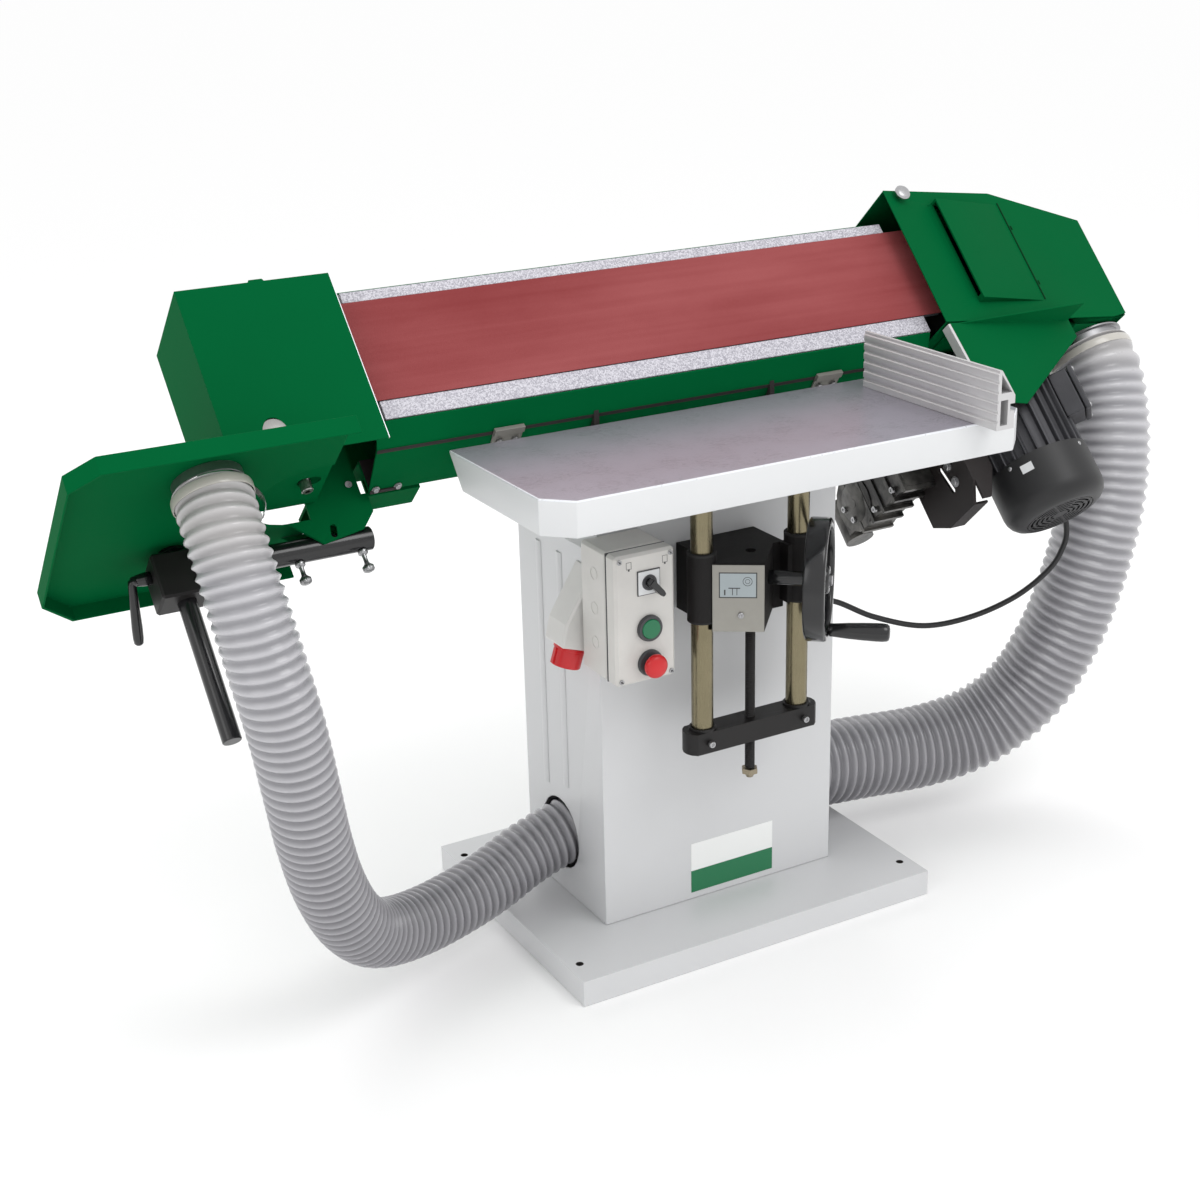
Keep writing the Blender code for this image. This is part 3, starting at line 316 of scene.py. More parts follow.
    hose = Paint("hose_grey", (0.46, 0.462, 0.49), 0.30, coat=0.35)
    rib = hose.node("ShaderNodeAttribute", {"attribute_name": "rib_height"}, None, "Fac")
    # Darker towards the bottom: the hose colours run from a darker pair low down to a lighter pair higher up.
    wear_and_low_darkening = hose.step(hose.along("Z"), 0.08, 0.62)
    dust = hose.noise(22.0, 4.0, 0.6)
    cuff = hose.step(hose.along("Z"), 0.735, 0.790)
    # Painted light: the first colour is painted shade in the grooves between the ribs, the second a painted
    # highlight on their crests; the rib height blends them.
    wall = hose.mixed(wear_and_low_darkening, (0.115, 0.112, 0.124), (0.245, 0.243, 0.262))
    ridge_highlight = hose.mixed(wear_and_low_darkening, (0.285, 0.280, 0.300), (0.520, 0.515, 0.540))
    body = hose.mixed(rib * 0.85 + dust * 0.15, wall, ridge_highlight)
    hose.set("Base Color", hose.mixed(cuff * 0.30, body, (0.50, 0.47, 0.42)))
    hose.set("Roughness", dust * 0.14 + rib * -0.08 + 0.28)
    hose.relief(hose.noise(300.0, 2.0), 0.05, 0.0005)
    PAINTS["hose_grey"] = hose.material

    label = Paint("label_print", (0.86, 0.86, 0.84), 0.42)
    low = 1.0 - label.step(label.along("Z"), 0.0879, 0.0883)
    label.set("Base Color", label.mixed(low, (0.84, 0.85, 0.84), (0.012, 0.17, 0.068)))
    label.set("Roughness", label.noise(200.0) * 0.08 + 0.36)
    PAINTS["label_print"] = label.material

    plate = Paint("plate_print", (0.31, 0.30, 0.27), 0.42, metallic=0.25)
    blot = plate.noise(60.0, 3.0)
    plate.set("Base Color", plate.shade(blot, 0.90, 1.05))
    plate.set("Roughness", blot * 0.12 + 0.34)
    PAINTS["plate_print"] = plate.material
    # Dark print, and also the painted shadow in the lid screw slots.
    plastic("ink_dark", (0.05, 0.05, 0.05), 0.5)
    plastic("ink_white", (0.70, 0.71, 0.72), 0.45)
    plastic("card_blue", (0.36, 0.41, 0.43), 0.42)


make_paints()


# ---------------------------------------------------------------- meshes
def arc(centre, radius, start, end, steps):
    turn = [math.radians(start + (end - start) * i / steps) for i in range(steps + 1)]
    return [(centre[0] + radius * math.cos(a), centre[1] + radius * math.sin(a)) for a in turn]


def prism(outline, axis, low, high):
    first, second, third = PLANES[axis]
    mesh = bmesh.new()
    ends = []
    for level in (low, high):
        ring = []
        for point in outline:
            place = [0.0, 0.0, 0.0]
            place[first], place[second], place[third] = point[0], point[1], level
            ring.append(mesh.verts.new(place))
        ends.append(ring)
    mesh.faces.new(ends[0])
    mesh.faces.new(ends[1])
    for i in range(len(outline)):
        j = (i + 1) % len(outline)
        mesh.faces.new((ends[0][i], ends[0][j], ends[1][j], ends[1][i]))
    bmesh.ops.recalc_face_normals(mesh, faces=mesh.faces)
    return mesh


def box(x, y, z):
    return prism([(x[0], y[0]), (x[1], y[0]), (x[1], y[1]), (x[0], y[1])], "z", *z)


def turned(profile, axis, centre=(0, 0), sides=64, shape=None):
    """A turned piece; shape(angle, height) may vary the radius round it, as on a knurl or a thread."""
    first, second, third = PLANES[axis]
    mesh = bmesh.new()
    rings = []
    for radius, height in profile:
        ring = []
        for i in range(sides if radius > 1e-6 else 1):
            angle = 2 * math.pi * i / sides
            reach = radius + (shape(angle, height, radius) if shape and radius > 1e-6 else 0.0)
            place = [0.0, 0.0, 0.0]
            place[first] = centre[0] + reach * math.cos(angle)
            place[second] = centre[1] + reach * math.sin(angle)
            place[third] = height
            ring.append(mesh.verts.new(place))
        rings.append(ring)
    for a, b in zip(rings, rings[1:] + rings[:1]):
        for i in range(sides):
            j = (i + 1) % sides
            corners = list(dict.fromkeys([a[i % len(a)], a[j % len(a)], b[j % len(b)], b[i % len(b)]]))
            if len(corners) > 2:
                mesh.faces.new(corners)
    bmesh.ops.recalc_face_normals(mesh, faces=mesh.faces)
    return mesh


def placed(mesh, *steps):
    whole = Matrix.Identity(4)
    for step in steps:
        whole = whole @ step
    bmesh.ops.transform(mesh, matrix=whole, verts=mesh.verts)
    return mesh


def joined(*meshes):
    """Several shells as one piece, such as a group of the same fasteners."""
    whole = bmesh.new()
    for mesh in meshes:
        holder = bpy.data.meshes.new("part")
        mesh.to_mesh(holder)
        mesh.free()
        whole.from_mesh(holder)
        bpy.data.meshes.remove(holder)
    return whole


def aimed(place, direction, spin=0.0):
    """Frame at place whose z points along direction."""
    turn = Vector((0, 0, 1)).rotation_difference(Vector(direction)).to_matrix().to_4x4()
    return Matrix.Translation(place) @ turn @ Matrix.Rotation(spin, 4, "Z")


def piece(name, mesh, finish, body, slot, replaces=(), bevel=0.0, segments=2, sharp=35.0):
    data = bpy.data.meshes.new(name)
    mesh.to_mesh(data)
    mesh.free()
    made = bpy.data.objects.new(name, data)
    bpy.context.scene.collection.objects.link(made)
    for each in ([finish] if isinstance(finish, str) else finish):
        data.materials.append(PAINTS[each])
    soften(made, bevel, segments, sharp)
    if body:
        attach(made, body)
    if replaces:
        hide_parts(*([replaces] if isinstance(replaces, str) else replaces))
    return made


def soften(made, bevel, segments=2, sharp=35.0):
    if bevel:
        edges = made.modifiers.new("edges", "BEVEL")
        edges.width, edges.segments = bevel, segments
        edges.limit_method, edges.angle_limit = "ANGLE", math.radians(32)
        edges.harden_normals = True
    made.data.shade_smooth()
    made.data.set_sharp_from_angle(angle=math.radians(sharp))


def refined(node, finish, body, slot, bevel=0.0012, segments=2, merge=True):
    """The node's own shape with its flat faces whole again and its edges broken as on a real part."""
    mesh = bmesh.new()
    mesh.from_mesh(nodes[node].data)
    bmesh.ops.remove_doubles(mesh, verts=mesh.verts, dist=0.00002)
    if merge:
        bmesh.ops.dissolve_limit(mesh, angle_limit=math.radians(0.6), verts=mesh.verts, edges=mesh.edges)
    return piece(node + "_finished", mesh, finish, body, slot, node, bevel, segments)


# ---------------------------------------------------------------- hoses and cable
def smooth_route(points, spacing):
    knots = [Vector(p) for p in points]
    knots = [2 * knots[0] - knots[1]] + knots + [2 * knots[-1] - knots[-2]]
    dense = []
    for a, b, c, d in zip(knots, knots[1:], knots[2:], knots[3:]):
        for step in range(48):
            t = step / 48
            dense.append(0.5 * (2 * b + (c - a) * t + (2 * a - 5 * b + 4 * c - d) * t * t
                                + (3 * b - a - 3 * c + d) * t * t * t))
    dense.append(knots[-2])
    total = sum((q - p).length for p, q in zip(dense, dense[1:]))
    count = max(2, round(total / spacing))
    route, wanted, walked = [dense[0]], total / count, 0.0
    for p, q in zip(dense, dense[1:]):
        step = (q - p).length
        while len(route) < count and walked + step >= wanted * len(route):
            route.append(p.lerp(q, (wanted * len(route) - walked) / step))
        walked += step
    return route + [dense[-1]], total


def tube(route, radius, sides, rib_pitch=0.0, rib_depth=0.0, spacing=1.0):
    """A round tube along a route, ribbed by the stiff spiral in its wall."""
    mesh = bmesh.new()
    ribs = mesh.verts.layers.float.new("rib_height")
    across = (route[1] - route[0]).orthogonal().normalized()
    rings = []
    for i, middle in enumerate(route):
        forward = (route[min(i + 1, len(route) - 1)] - route[max(i - 1, 0)]).normalized()
        across = (across - across.dot(forward) * forward).normalized()
        other = forward.cross(across)
        ring = []
        for k in range(sides):
            angle = 2 * math.pi * k / sides
            height = 1.0
            if rib_pitch:
                phase = (i * spacing / rib_pitch + k / sides) % 1.0
                height = (0.5 + 0.5 * math.cos(2 * math.pi * phase)) ** 1.2
            reach = radius - rib_depth * (1.0 - height)
            vert = mesh.verts.new(middle + reach * (math.cos(angle) * across + math.sin(angle) * other))
            vert[ribs] = height
            ring.append(vert)
        rings.append(ring)
    for a, b in zip(rings, rings[1:]):
        for k in range(sides):
            j = (k + 1) % sides
            mesh.faces.new((a[k], a[j], b[j], b[k]))
    mesh.faces.new(list(reversed(rings[0])))
    mesh.faces.new(rings[-1])
    return mesh


def cord_piece(name, points, radius, sides, spacing, finish, slot, pitch=0.0, depth=0.0):
    route, length = smooth_route(points, spacing)
    step = length / (len(route) - 1)
    mesh = tube(route, radius, sides, pitch, depth, step)
    made = piece(name + "_finished", mesh, finish, None, slot, name, sharp=60.0)
    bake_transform(made)
    [tuple(p) for p in route[::4] + ([route[-1]] if (len(route) - 1) % 4 else [])]
    return route


def band(name, middle, direction, radius, width, thick, body):
    """A clear snap-on hose cuff with a rounded back."""
    half, back = width / 2, radius + thick
    ring = turned([(radius, -half), (back - 0.0006, -half), (back, -half * 0.6), (back, half * 0.6),
                   (back - 0.0006, half), (radius, half)], "z", sides=72)
    return piece(name, placed(ring, aimed(middle, direction)), "cuff_clear", body, "light_plastic")


def make_cords():
    start = at(*LEFT_SPIGOT, AUX_TOP - AUX_SHEET - 0.0170)
    left = [tuple(start), (-0.744, -0.198, 0.772), (-0.737, -0.231, 0.700), (-0.722, -0.244, 0.612),
            (-0.704, -0.239, 0.526), (-0.686, -0.222, 0.431), (-0.667, -0.196, 0.345), (-0.640, -0.166, 0.256),
            (-0.600, -0.130, 0.176), (-0.548, -0.094, 0.124), (-0.462, -0.052, 0.098), (-0.352, -0.012, 0.098),
            (-0.262, 0.012, 0.119), (-0.165, 0.020, 0.143)]
    cord_piece("left_hose", left, LEFT_HOSE_R, 44, 0.0014, "hose_grey", "hose_pvc",
               0.0150, 0.0044)
    start = at(*RIGHT_SPIGOT, -0.0645)
    right = [tuple(start), (0.771, -0.052, 0.716), (0.763, -0.083, 0.640), (0.753, -0.097, 0.549),
             (0.738, -0.098, 0.466), (0.719, -0.089, 0.372), (0.694, -0.074, 0.285), (0.652, -0.050, 0.198),
             (0.583, -0.020, 0.138), (0.488, 0.004, 0.114), (0.350, 0.016, 0.120), (0.170, 0.018, 0.137)]
    cord_piece("right_hose", right, RIGHT_HOSE_R, 52, 0.0017, "hose_grey", "hose_pvc",
               0.0178, 0.0052)
    start = at(*GLAND, -0.2385)
    cable = [tuple(start), (0.648, -0.128, 0.510), (0.634, -0.134, 0.470), (0.606, -0.131, 0.438),
             (0.559, -0.112, 0.400), (0.495, -0.083, 0.371), (0.430, -0.048, 0.359), (0.362, -0.009, 0.376),
             (0.300, 0.014, 0.408), (0.240, 0.020, 0.420), (0.185, 0.020, 0.420)]
    cord_piece("motor_cable", cable, CABLE_R, 20, 0.006, "cable_jacket", "cable_rubber")


make_cords()


# ---------------------------------------------------------------- fasteners
def hex_bolt(place, direction, radius, height=None):
    height = height or radius * 0.75
    head = turned([(0, 0), (radius, 0), (radius, height * 0.8), (radius * 0.86, height), (0, height)], "z", sides=6)
    washer = turned([(0, -0.0004), (radius * 1.35, -0.0004), (radius * 1.35, 0.0008), (0, 0.0008)], "z", sides=28)
    return placed(joined(head, washer), aimed(place, direction))


def cap_screw(place, direction, radius, height=None):
    """Round head with a hexagon socket."""
    height = height or radius * 1.2
    head = turned([(0, 0), (radius, 0), (radius, height * 0.85), (radius * 0.88, height), (radius * 0.52, height)],
                  "z", sides=28)
    socket = turned([(0, height * 0.4), (radius * 0.50, height * 0.4), (radius * 0.50, height * 0.999),
                     (radius * 0.53, height * 0.999), (radius * 0.53, height * 0.38), (0, height * 0.38)], "z",
                     sides=6)
    return placed(joined(head, socket), aimed(place, direction))


def from_level(level, profile):
    """A turned profile whose heights are counted from a level."""
    return [(radius, level + height) for radius, height in profile]


def fasteners(name, meshes, body):
    """A group of the same plated fasteners, riding on one body."""
    return piece(name, joined(*meshes), "zinc_plate", body, "bright_steel")


def unit_fasteners(name, meshes, body="unit"):
    """The same for fasteners given in the tilting unit's frame."""
    return unit_piece(name, joined(*meshes), "zinc_plate", "bright_steel", body=body)


def pan_screw(place, direction, radius, height=None, spin=0.3):
    """Low domed head."""
    height = height or radius * 0.6
    dome = [(0, 0), (radius, 0)] + [(radius * math.cos(a), height * math.sin(a)) for a in (0.35, 0.7, 1.05, 1.3)]
    head = turned(dome + [(0, height)], "z", sides=28)
    return placed(head, aimed(place, direction, spin))


# ---------------------------------------------------------------- stand
def make_stand():
    refined("base_tray", "white_enamel", "stand", "white_enamel", 0.0035, 3)
    refined("column", "white_enamel", "stand", "white_enamel", 0.0014, 2, merge=False)
    refined("rear_panel", "white_enamel", "stand", "white_enamel", 0.0008)
    screws = []
    for x in (-0.188, 0.188):
        for z in (0.06, 0.24, 0.42, 0.60):
            screws.append(pan_screw((x, 0.1231, z), (0, 1, 0), 0.0055))
    fasteners("panel_screws", screws, "stand")
    outlet = [(0.0750, 0.1233), (0.0750, 0.1258), (0.0615, 0.1263), (0.0600, 0.1278), (0.0600, 0.1880), (0.0606,
                                                                                                         0.1886),
              (0.0606, 0.1900), (0.0578, 0.1900), (0.0575, 0.1880), (0.0575, 0.1233)]
    piece("dust_outlet_finished", turned(outlet, "y", (0, OUTLET_Z), 96), "black_enamel", "stand", "black_enamel",
          "dust_outlet")
    ring = [pan_screw((0.0675 * math.cos(a), 0.1260, OUTLET_Z + 0.0675 * math.sin(a)), (0, 1, 0), 0.0042)
            for a in [math.radians(45 + 90 * i) for i in range(4)]]
    fasteners("outlet_screws", ring, "stand")

    beads = []
    for y, low in ((0.057, 0.205), (-0.006, 0.222)):
        section = [(y - 0.0085, -0.2012), (y - 0.0060, -0.2028), (y - 0.0020, -0.2040), (y + 0.0020, -0.2040),
                   (y + 0.0060, -0.2028), (y + 0.0085, -0.2012)]
        beads.append(prism([(x, across) for across, x in section], "z", low, 0.5940))
    piece("column_beads", joined(*beads), "white_enamel", "stand", "white_enamel", bevel=0.0009)
    # Painted shade: dark sleeves inside the bolt holes of the base, so that the holes read as dark.
    hole_shades = [turned([(0.0058, 0.0398), (0.0058, 0.0312), (0.0048, 0.0312), (0.0048, 0.0398)], "z",
                      (sx * 0.286, sy * 0.191), 28) for sx in (-1, 1) for sy in (-1, 1)]
    piece("bolt_hole_shades", joined(*hole_shades), "dark_inside", "stand", "cable_rubber")
    plate = box((-0.053, 0.0935), (-0.11955, -0.11905), (0.0515, 0.1335))
    piece("front_label", plate, "label_print", "stand", "white_enamel")
    tag = box((0.142, 0.178), (-0.11945, -0.11905), (0.668, 0.684))
    piece("small_label", tag, "ink_white", "stand", "white_enamel")

    for side in ("left", "right"):
        refined(f"pivot_lug_{side}", "black_enamel", "stand", "black_enamel", 0.0010)
    pivot = at(0, PIVOT_B, PIVOT_W)
    nuts = []
    for x, way in ((-0.1815, -1), (0.1415, 1)):
        nuts.append(hex_bolt((x + way * 0.0005, pivot.y, pivot.z), (way, 0, 0), 0.0125, 0.0025))
        for y in (0.045, 0.105):
            nuts.append(hex_bolt((x - way * 0.006, y, 0.6334), (0, 0, 1), 0.0045, 0.003) if y < 0.06 else
                        pan_screw((x, y, 0.645), (way, 0, 0), 0.005))
    fasteners("pivot_nuts", nuts, "stand")


def make_controls():
    front, cx = BOX_FRONT, BUTTON_X
    refined("control_box", "box_plastic", "stand", "light_plastic", 0.0010)
    refined("control_lid", "box_plastic", "stand", "light_plastic", 0.0022, 3)
    seam = box((-0.2270, -0.1350), (-0.1886, -0.1870), (0.4640, 0.6490))
    piece("lid_gasket", seam, "ring_plastic", "stand", "cable_rubber")
    screws, slot_shadows = [], []
    for x in (-0.2205, -0.1415):
        for z in (0.4705, 0.6425):
            screws.append(cap_screw((x, front - 0.0001, z), (0, -1, 0), 0.0036, 0.0018))
            slot_shadows.append(placed(box((-0.0030, 0.0030), (front - 0.00200, front - 0.00188), (-0.0005, 0.0005)),
                                Matrix.Translation((x, 0, z)), Matrix.Rotation(0.7, 4, "Y")))
    piece("lid_screws", joined(*screws), "zinc_plate", "stand", "light_plastic")
    # Painted shadow: a thin dark bar on each screw head stands for the shade in its slot.
    piece("lid_screw_slot_shadows", joined(*slot_shadows), "ink_dark", "stand", "light_plastic")

    rings = [turned([(0.0082, -0.2281), (0.0082, -0.2286), (0.0090, -0.2286), (0.0090, -0.2281)], "x",
                    (-0.158, z), 36) for z in (0.512, 0.562, 0.612)]
    piece("box_knockouts", joined(*rings), "box_plastic", "stand", "light_plastic")
    marks = []
    for x in (cx - 0.030, cx + 0.026):
        for x0, x1, z0, z1 in ((-0.0040, 0.0040, 0.6300, 0.6305), (-0.0040, 0.0040, 0.6395, 0.6400),
                               (-0.0040, -0.0035, 0.6300, 0.6400), (0.0035, 0.0040, 0.6300, 0.6400),
                               (-0.0012, 0.0012, 0.6275, 0.6300)):
            marks.append(box((x + x0, x + x1), (front - 0.0004, front - 0.0002), (z0, z1)))
    piece("lid_marks", joined(*marks), "ring_plastic", "stand", "light_plastic")

    # The dark plate, 1.4 mm wider all round than the white plate on it, is a painted shadow round the switch plate.
    for name, half, low, finish in (("switch_plate_shadow", 0.0178, front - 0.0014, "ring_plastic"),
                                    ("switch_plate", 0.0164, front - 0.0028, "ink_white")):
        plate = prism([(cx - half, SWITCH_Z - half), (cx + half, SWITCH_Z - half), (cx + half, SWITCH_Z + half),
                       (cx - half, SWITCH_Z + half)], "y", low, front - GAP)
        piece(name, plate, finish, "stand", "light_plastic", bevel=0.0008)
    ring = turned(from_level(front, [(0.0112, -0.0029), (0.0106, -0.0050), (0.0070, -0.0050), (0.0068, -0.0029)]),
                  "y", (cx, SWITCH_Z), 48)
    piece("switch_collar", ring, "ring_plastic", "stand", "light_plastic")
    knob = turned(from_level(front, [(0, -0.0140), (0.0056, -0.0140), (0.0062, -0.0134), (0.0062, 0.008),
                                     (0, 0.008)]), "y", (cx, SWITCH_Z), 40)
    grip = prism([(-0.007, -0.0048), (0.018, -0.0042), (0.0232, -0.0024), (0.0232, 0.0024), (0.018, 0.0042),
                  (-0.007, 0.0048)], "y", front - 0.0186, front - 0.0060)
    bmesh.ops.bevel(grip, geom=grip.edges[:], offset=0.0008, segments=2, affect="EDGES")
    grip = placed(grip, Matrix.Translation((cx, 0, SWITCH_Z)), Matrix.Rotation(math.radians(48), 4, "Y"))
    piece("rotary_switch_finished", joined(knob, grip), "black_gloss", "switch", "black_plastic", "rotary_switch")

    for name, z, inner in (("start_ring", START_Z, 0.0143), ("stop_ring", STOP_Z, 0.0090)):
        rim = turned(from_level(front, [(0.0188, -GAP), (0.0188, -0.0034), (0.0178, -0.0060), (inner, -0.0064),
                                        (inner, -GAP)]), "y", (cx, z), 64)
        piece(name, rim, "ring_plastic", "stand", "light_plastic")
    start = from_level(front, [(0, -0.0078), (0.0120, -0.0082), (0.0132, -0.0080), (0.0139, -0.0070),
                               (0.0139, 0.008), (0, 0.008)])
    piece("start_button_finished", turned(start, "y", (cx, START_Z), 56), "green_plastic", "start", "green_plastic",
          "start_button")
    stop = from_level(front, [(0, -0.0258), (0.0070, -0.0254), (0.0125, -0.0240), (0.0160, -0.0212),
                              (0.0170, -0.0180), (0.0167, -0.0150), (0.0145, -0.0125), (0.0083, -0.0110),
                              (0.0083, 0.008), (0, 0.008)])
    piece("stop_button_finished", turned(stop, "y", (cx, STOP_Z), 56), "red_plastic", "stop", "red_plastic",
          "stop_button")

    refined("inlet_housing", "inlet_plastic", "stand", "light_plastic", 0.0018, 3)
    low, corner = Vector((-0.2013, 0, 0.474)), Vector((-0.2560, 0, 0.492))
    slope = (corner - low).normalized()
    out = Vector((-slope.z, 0, slope.x))
    mouth = aimed((low + corner) / 2 + Vector((0, -0.085, 0)) + out * GAP, out)
    collar = [(0.0228, 0), (0.0235, 0.0008), (0.0235, 0.0045), (0.0228, 0.005), (0.0218, 0.005), (0.0217, 0.0288),
              (0.0208, 0.030), (0.0184, 0.030), (0.0182, 0.004), (0, 0.004), (0, 0)]
    key = box((0.0200, 0.0238), (-0.003, 0.003), (0.005, 0.028))
    piece("inlet_collar_finished", placed(joined(turned(collar, "z", sides=72), key), mouth), "red_plastic",
          "stand",
          "red_plastic", "inlet_collar")
    pins = []
    for i in range(5):
        a = 2 * math.pi * i / 5 + 0.3
        pins.append(turned([(0, 0.0041), (0.0022, 0.0041), (0.0022, 0.022), (0.0016, 0.024), (0, 0.024)], "z",
                           (0.0110 * math.cos(a), 0.0110 * math.sin(a)), 16))
    piece("inlet_pins", placed(joined(*pins), mouth), "bronze_nut", "stand", "bright_steel")


make_stand()
make_controls()


# ---------------------------------------------------------------- lift
def post_ring(x, outer, root, shoulder, end):
    """A collar round one post, from its root to its chamfered end."""
    return turned([(outer, root), (outer, shoulder), (outer - 0.0010, end), (0.0164, end), (0.0160, shoulder),
                   (0.0160, root)], "z", (x, POST_Y), 56)


def make_lift():
    refined("lift_block", "block_crackle", "stand", "black_enamel", 0.0016)
    a, b = Vector((-0.0815, -0.2235, 0)), Vector((-0.022, -0.264, 0))
    run = (b - a).normalized()
    out = Vector((run.y, -run.x, 0))
    middle = (a + b) / 2
    facet = Matrix((run, out, Vector((0, 0, 1)))).transposed().to_4x4()
    facet.translation = middle
    half = (b - a).length / 2
    plate = box((-half + 0.001, half), (0.0004, 0.0018), (0.5185, 0.6155))
    piece("block_plate", placed(plate, facet), "plate_print", "stand", "light_plastic", bevel=0.0004)
    frame_lines = []
    for x0, x1, z0, z1 in ((-0.026, 0.026, 0.6035, 0.6050), (-0.026, 0.026, 0.5680, 0.5695),
                           (-0.026, -0.0245, 0.5680, 0.6050), (0.0245, 0.026, 0.5680, 0.6050),
                           (-0.019, -0.017, 0.572, 0.580), (-0.013, 0.003, 0.5815, 0.5830),
                           (-0.008, -0.007, 0.572, 0.5815), (-0.002, -0.001, 0.572, 0.5815)):
        frame_lines.append(box((x0, x1), (0.0018, 0.0020), (z0, z1)))
    for inner, outer, sides in ((0.0058, 0.0066, 32), (0.0028, 0.0034, 24)):
        circle = [(inner, 0.0018), (outer, 0.0018), (outer, 0.0020), (inner, 0.0020)]
        frame_lines.append(turned(circle, "y", (0.013, 0.592), sides))
    piece("block_plate_print", placed(joined(*frame_lines), facet), "ink_dark", "stand", "black_plastic")
    card = box((-0.0255, 0.0255), (0.00182, 0.00190), (0.5685, 0.6045))
    piece("block_plate_card", placed(card, facet), "card_blue", "stand", "light_plastic")
    spot = facet @ Vector((0.004, 0.0018, 0.543))
    piece("block_plate_screw", cap_screw(spot, out, 0.0042, 0.0030), "zinc_plate", "stand", "bright_steel")

    rings = [post_ring(x, 0.0206, *levels) for x in POSTS
             for levels in ((0.6262, 0.6290, 0.6300), (0.5318, 0.5300, 0.5288))]
    piece("guide_seals", joined(*rings), "gasket_rubber", "stand", "cable_rubber")

    def thread(angle, height, radius):
        phase = (height / 0.003 - angle / (2 * math.pi)) % 1.0
        return -0.0011 * abs(2 * phase - 1) if radius > 0.0070 else 0.0

    steps = int((0.600 - 0.286) / 0.0005)
    profile = [(0, 0.286)] + [(0.0075, 0.286 + 0.0005 * i) for i in range(steps)] + [(0, 0.286 + 0.0005 * steps)]
    piece("lift_spindle_finished", turned(profile, "z", (SPINDLE_X, POST_Y), 28, thread), "black_enamel", "spindle",
          "black_enamel", "lift_spindle")
    nut = [turned([(0, 0.2765), (0.0125, 0.2765), (0.0125, 0.2830), (0.0118, 0.2842), (0, 0.2842)], "z",
                  (SPINDLE_X, POST_Y), 6),
           turned([(0, 0.270), (0.0052, 0.270), (0.0078, 0.2765), (0, 0.2765)], "z", (SPINDLE_X, POST_Y), 32)]
    piece("spindle_nut", joined(*nut), "bronze_nut", "spindle", "bright_steel")

    turn = (Matrix.Translation(WHEEL), Matrix.Rotation(WHEEL_TURN, 4, "Z"))
    hub = [(0, -0.0860), (0.0098, -0.0855), (0.0100, -0.0850), (0.0100, -0.0235), (0.0195, -0.0235), (0.0215,
                                                                                                      -0.0215),
           (0.0220, -0.0190), (0.0205, 0.0060), (0.0180, 0.0095), (0.0120, 0.0100), (0.0118, 0.0085), (0, 0.0085)]
    rim = [(WHEEL_R - 0.0030, -0.0200), (WHEEL_R - 0.0008, -0.0188), (WHEEL_R, -0.0165), (WHEEL_R, 0.0060),
           (WHEEL_R - 0.0010, 0.0085), (WHEEL_R - 0.0035, 0.0100), (WHEEL_R - 0.0085, 0.0100), (WHEEL_R - 0.0112,
                                                                                                0.0085),
           (WHEEL_R - 0.0120, 0.0060), (WHEEL_R - 0.0118, -0.0090), (WHEEL_R - 0.0070, -0.0150),
           (WHEEL_R - 0.0060, -0.0200)]
    spokes = []
    for angle in (60, 180, 300):
        spoke = turned([(0, 0.016), (0.0088, 0.016), (0.0072, 0.040), (0.0070, 0.060), (0.0080, 0.0735), (0,
                                                                                                          0.0735)],
                       "z", sides=28)
        spoke = placed(spoke, Matrix.Diagonal((0.55, 1.0, 1.0, 1.0)))
        spokes.append(placed(spoke, Matrix.Rotation(math.radians(angle), 4, "X"),
                             Matrix.Translation((-0.0060, 0, 0))))
    wheel = joined(turned(hub, "x", (0, 0), 56), turned(rim, "x", (0, 0), 112), *spokes)
    piece("handwheel_finished", placed(wheel, *turn), "black_gloss", "wheel", "black_plastic", "handwheel",
          sharp=50.0)
    nut = placed(joined(turned([(0, 0.0084), (0.0085, 0.0084), (0.0085, 0.0130), (0.0075, 0.0138), (0, 0.0138)],
                               "x",
                               sides=6),
                        turned([(0, 0.0085), (0.0110, 0.0085), (0.0110, 0.0096), (0, 0.0096)], "x", sides=32)),
                        *turn)
    piece("wheel_nut", nut, "zinc_plate", "wheel", "bright_steel")
    root = turn[0] @ turn[1] @ Vector((0.0100 + GAP, 0, -WHEEL_R + 0.0120))
    grip = [(0, 0), (0.0082, 0), (0.0092, 0.0012), (0.0094, 0.0060), (0.0100, 0.0120), (0.0112, 0.0260), (0.0123,
                                                                                                          0.0480),
            (0.0129, 0.0660), (0.0129, 0.0740), (0.0121, 0.0800), (0.0100, 0.0828), (0.0050, 0.0838), (0, 0.0840)]
    piece("crank_grip_finished", placed(turned(grip, "x", sides=48), Matrix.Translation(root), turn[1]),
          "black_gloss",
          "grip", "black_plastic", "crank_grip", sharp=60.0)


def inset(outline, amount):
    """The outline of a convex plate drawn in by an even amount."""
    count = len(outline)
    area = sum(outline[i][0] * outline[(i + 1) % count][1] - outline[(i + 1) % count][0] * outline[i][1]
               for i in range(count))
    side = 1 if area > 0 else -1
    moved = []
    for i in range(count):
        p, q, r = Vector(outline[i - 1]), Vector(outline[i]), Vector(outline[(i + 1) % count])
        one, two = (q - p).normalized(), (r - q).normalized()
        n1, n2 = Vector((-one.y, one.x)) * side, Vector((-two.y, two.x)) * side
        moved.append(tuple(q + (n1 + n2) * (amount / (1 + n1.dot(n2)))))
    return moved


def rounded(outline, radius, steps=5):
    """The outline with every corner turned into a short arc."""
    count = len(outline)
    made = []
    for i in range(count):
        p, q, r = Vector(outline[i - 1]), Vector(outline[i]), Vector(outline[(i + 1) % count])
        one, two = (p - q).normalized(), (r - q).normalized()
        half = one.angle(two) / 2
        reach = min(radius / math.tan(half), (p - q).length * 0.45, (r - q).length * 0.45)
        start, end = q + one * reach, q + two * reach
        for k in range(steps + 1):
            t = k / steps
            made.append(tuple((1 - t) ** 2 * start + 2 * t * (1 - t) * q + t * t * end))
    return made


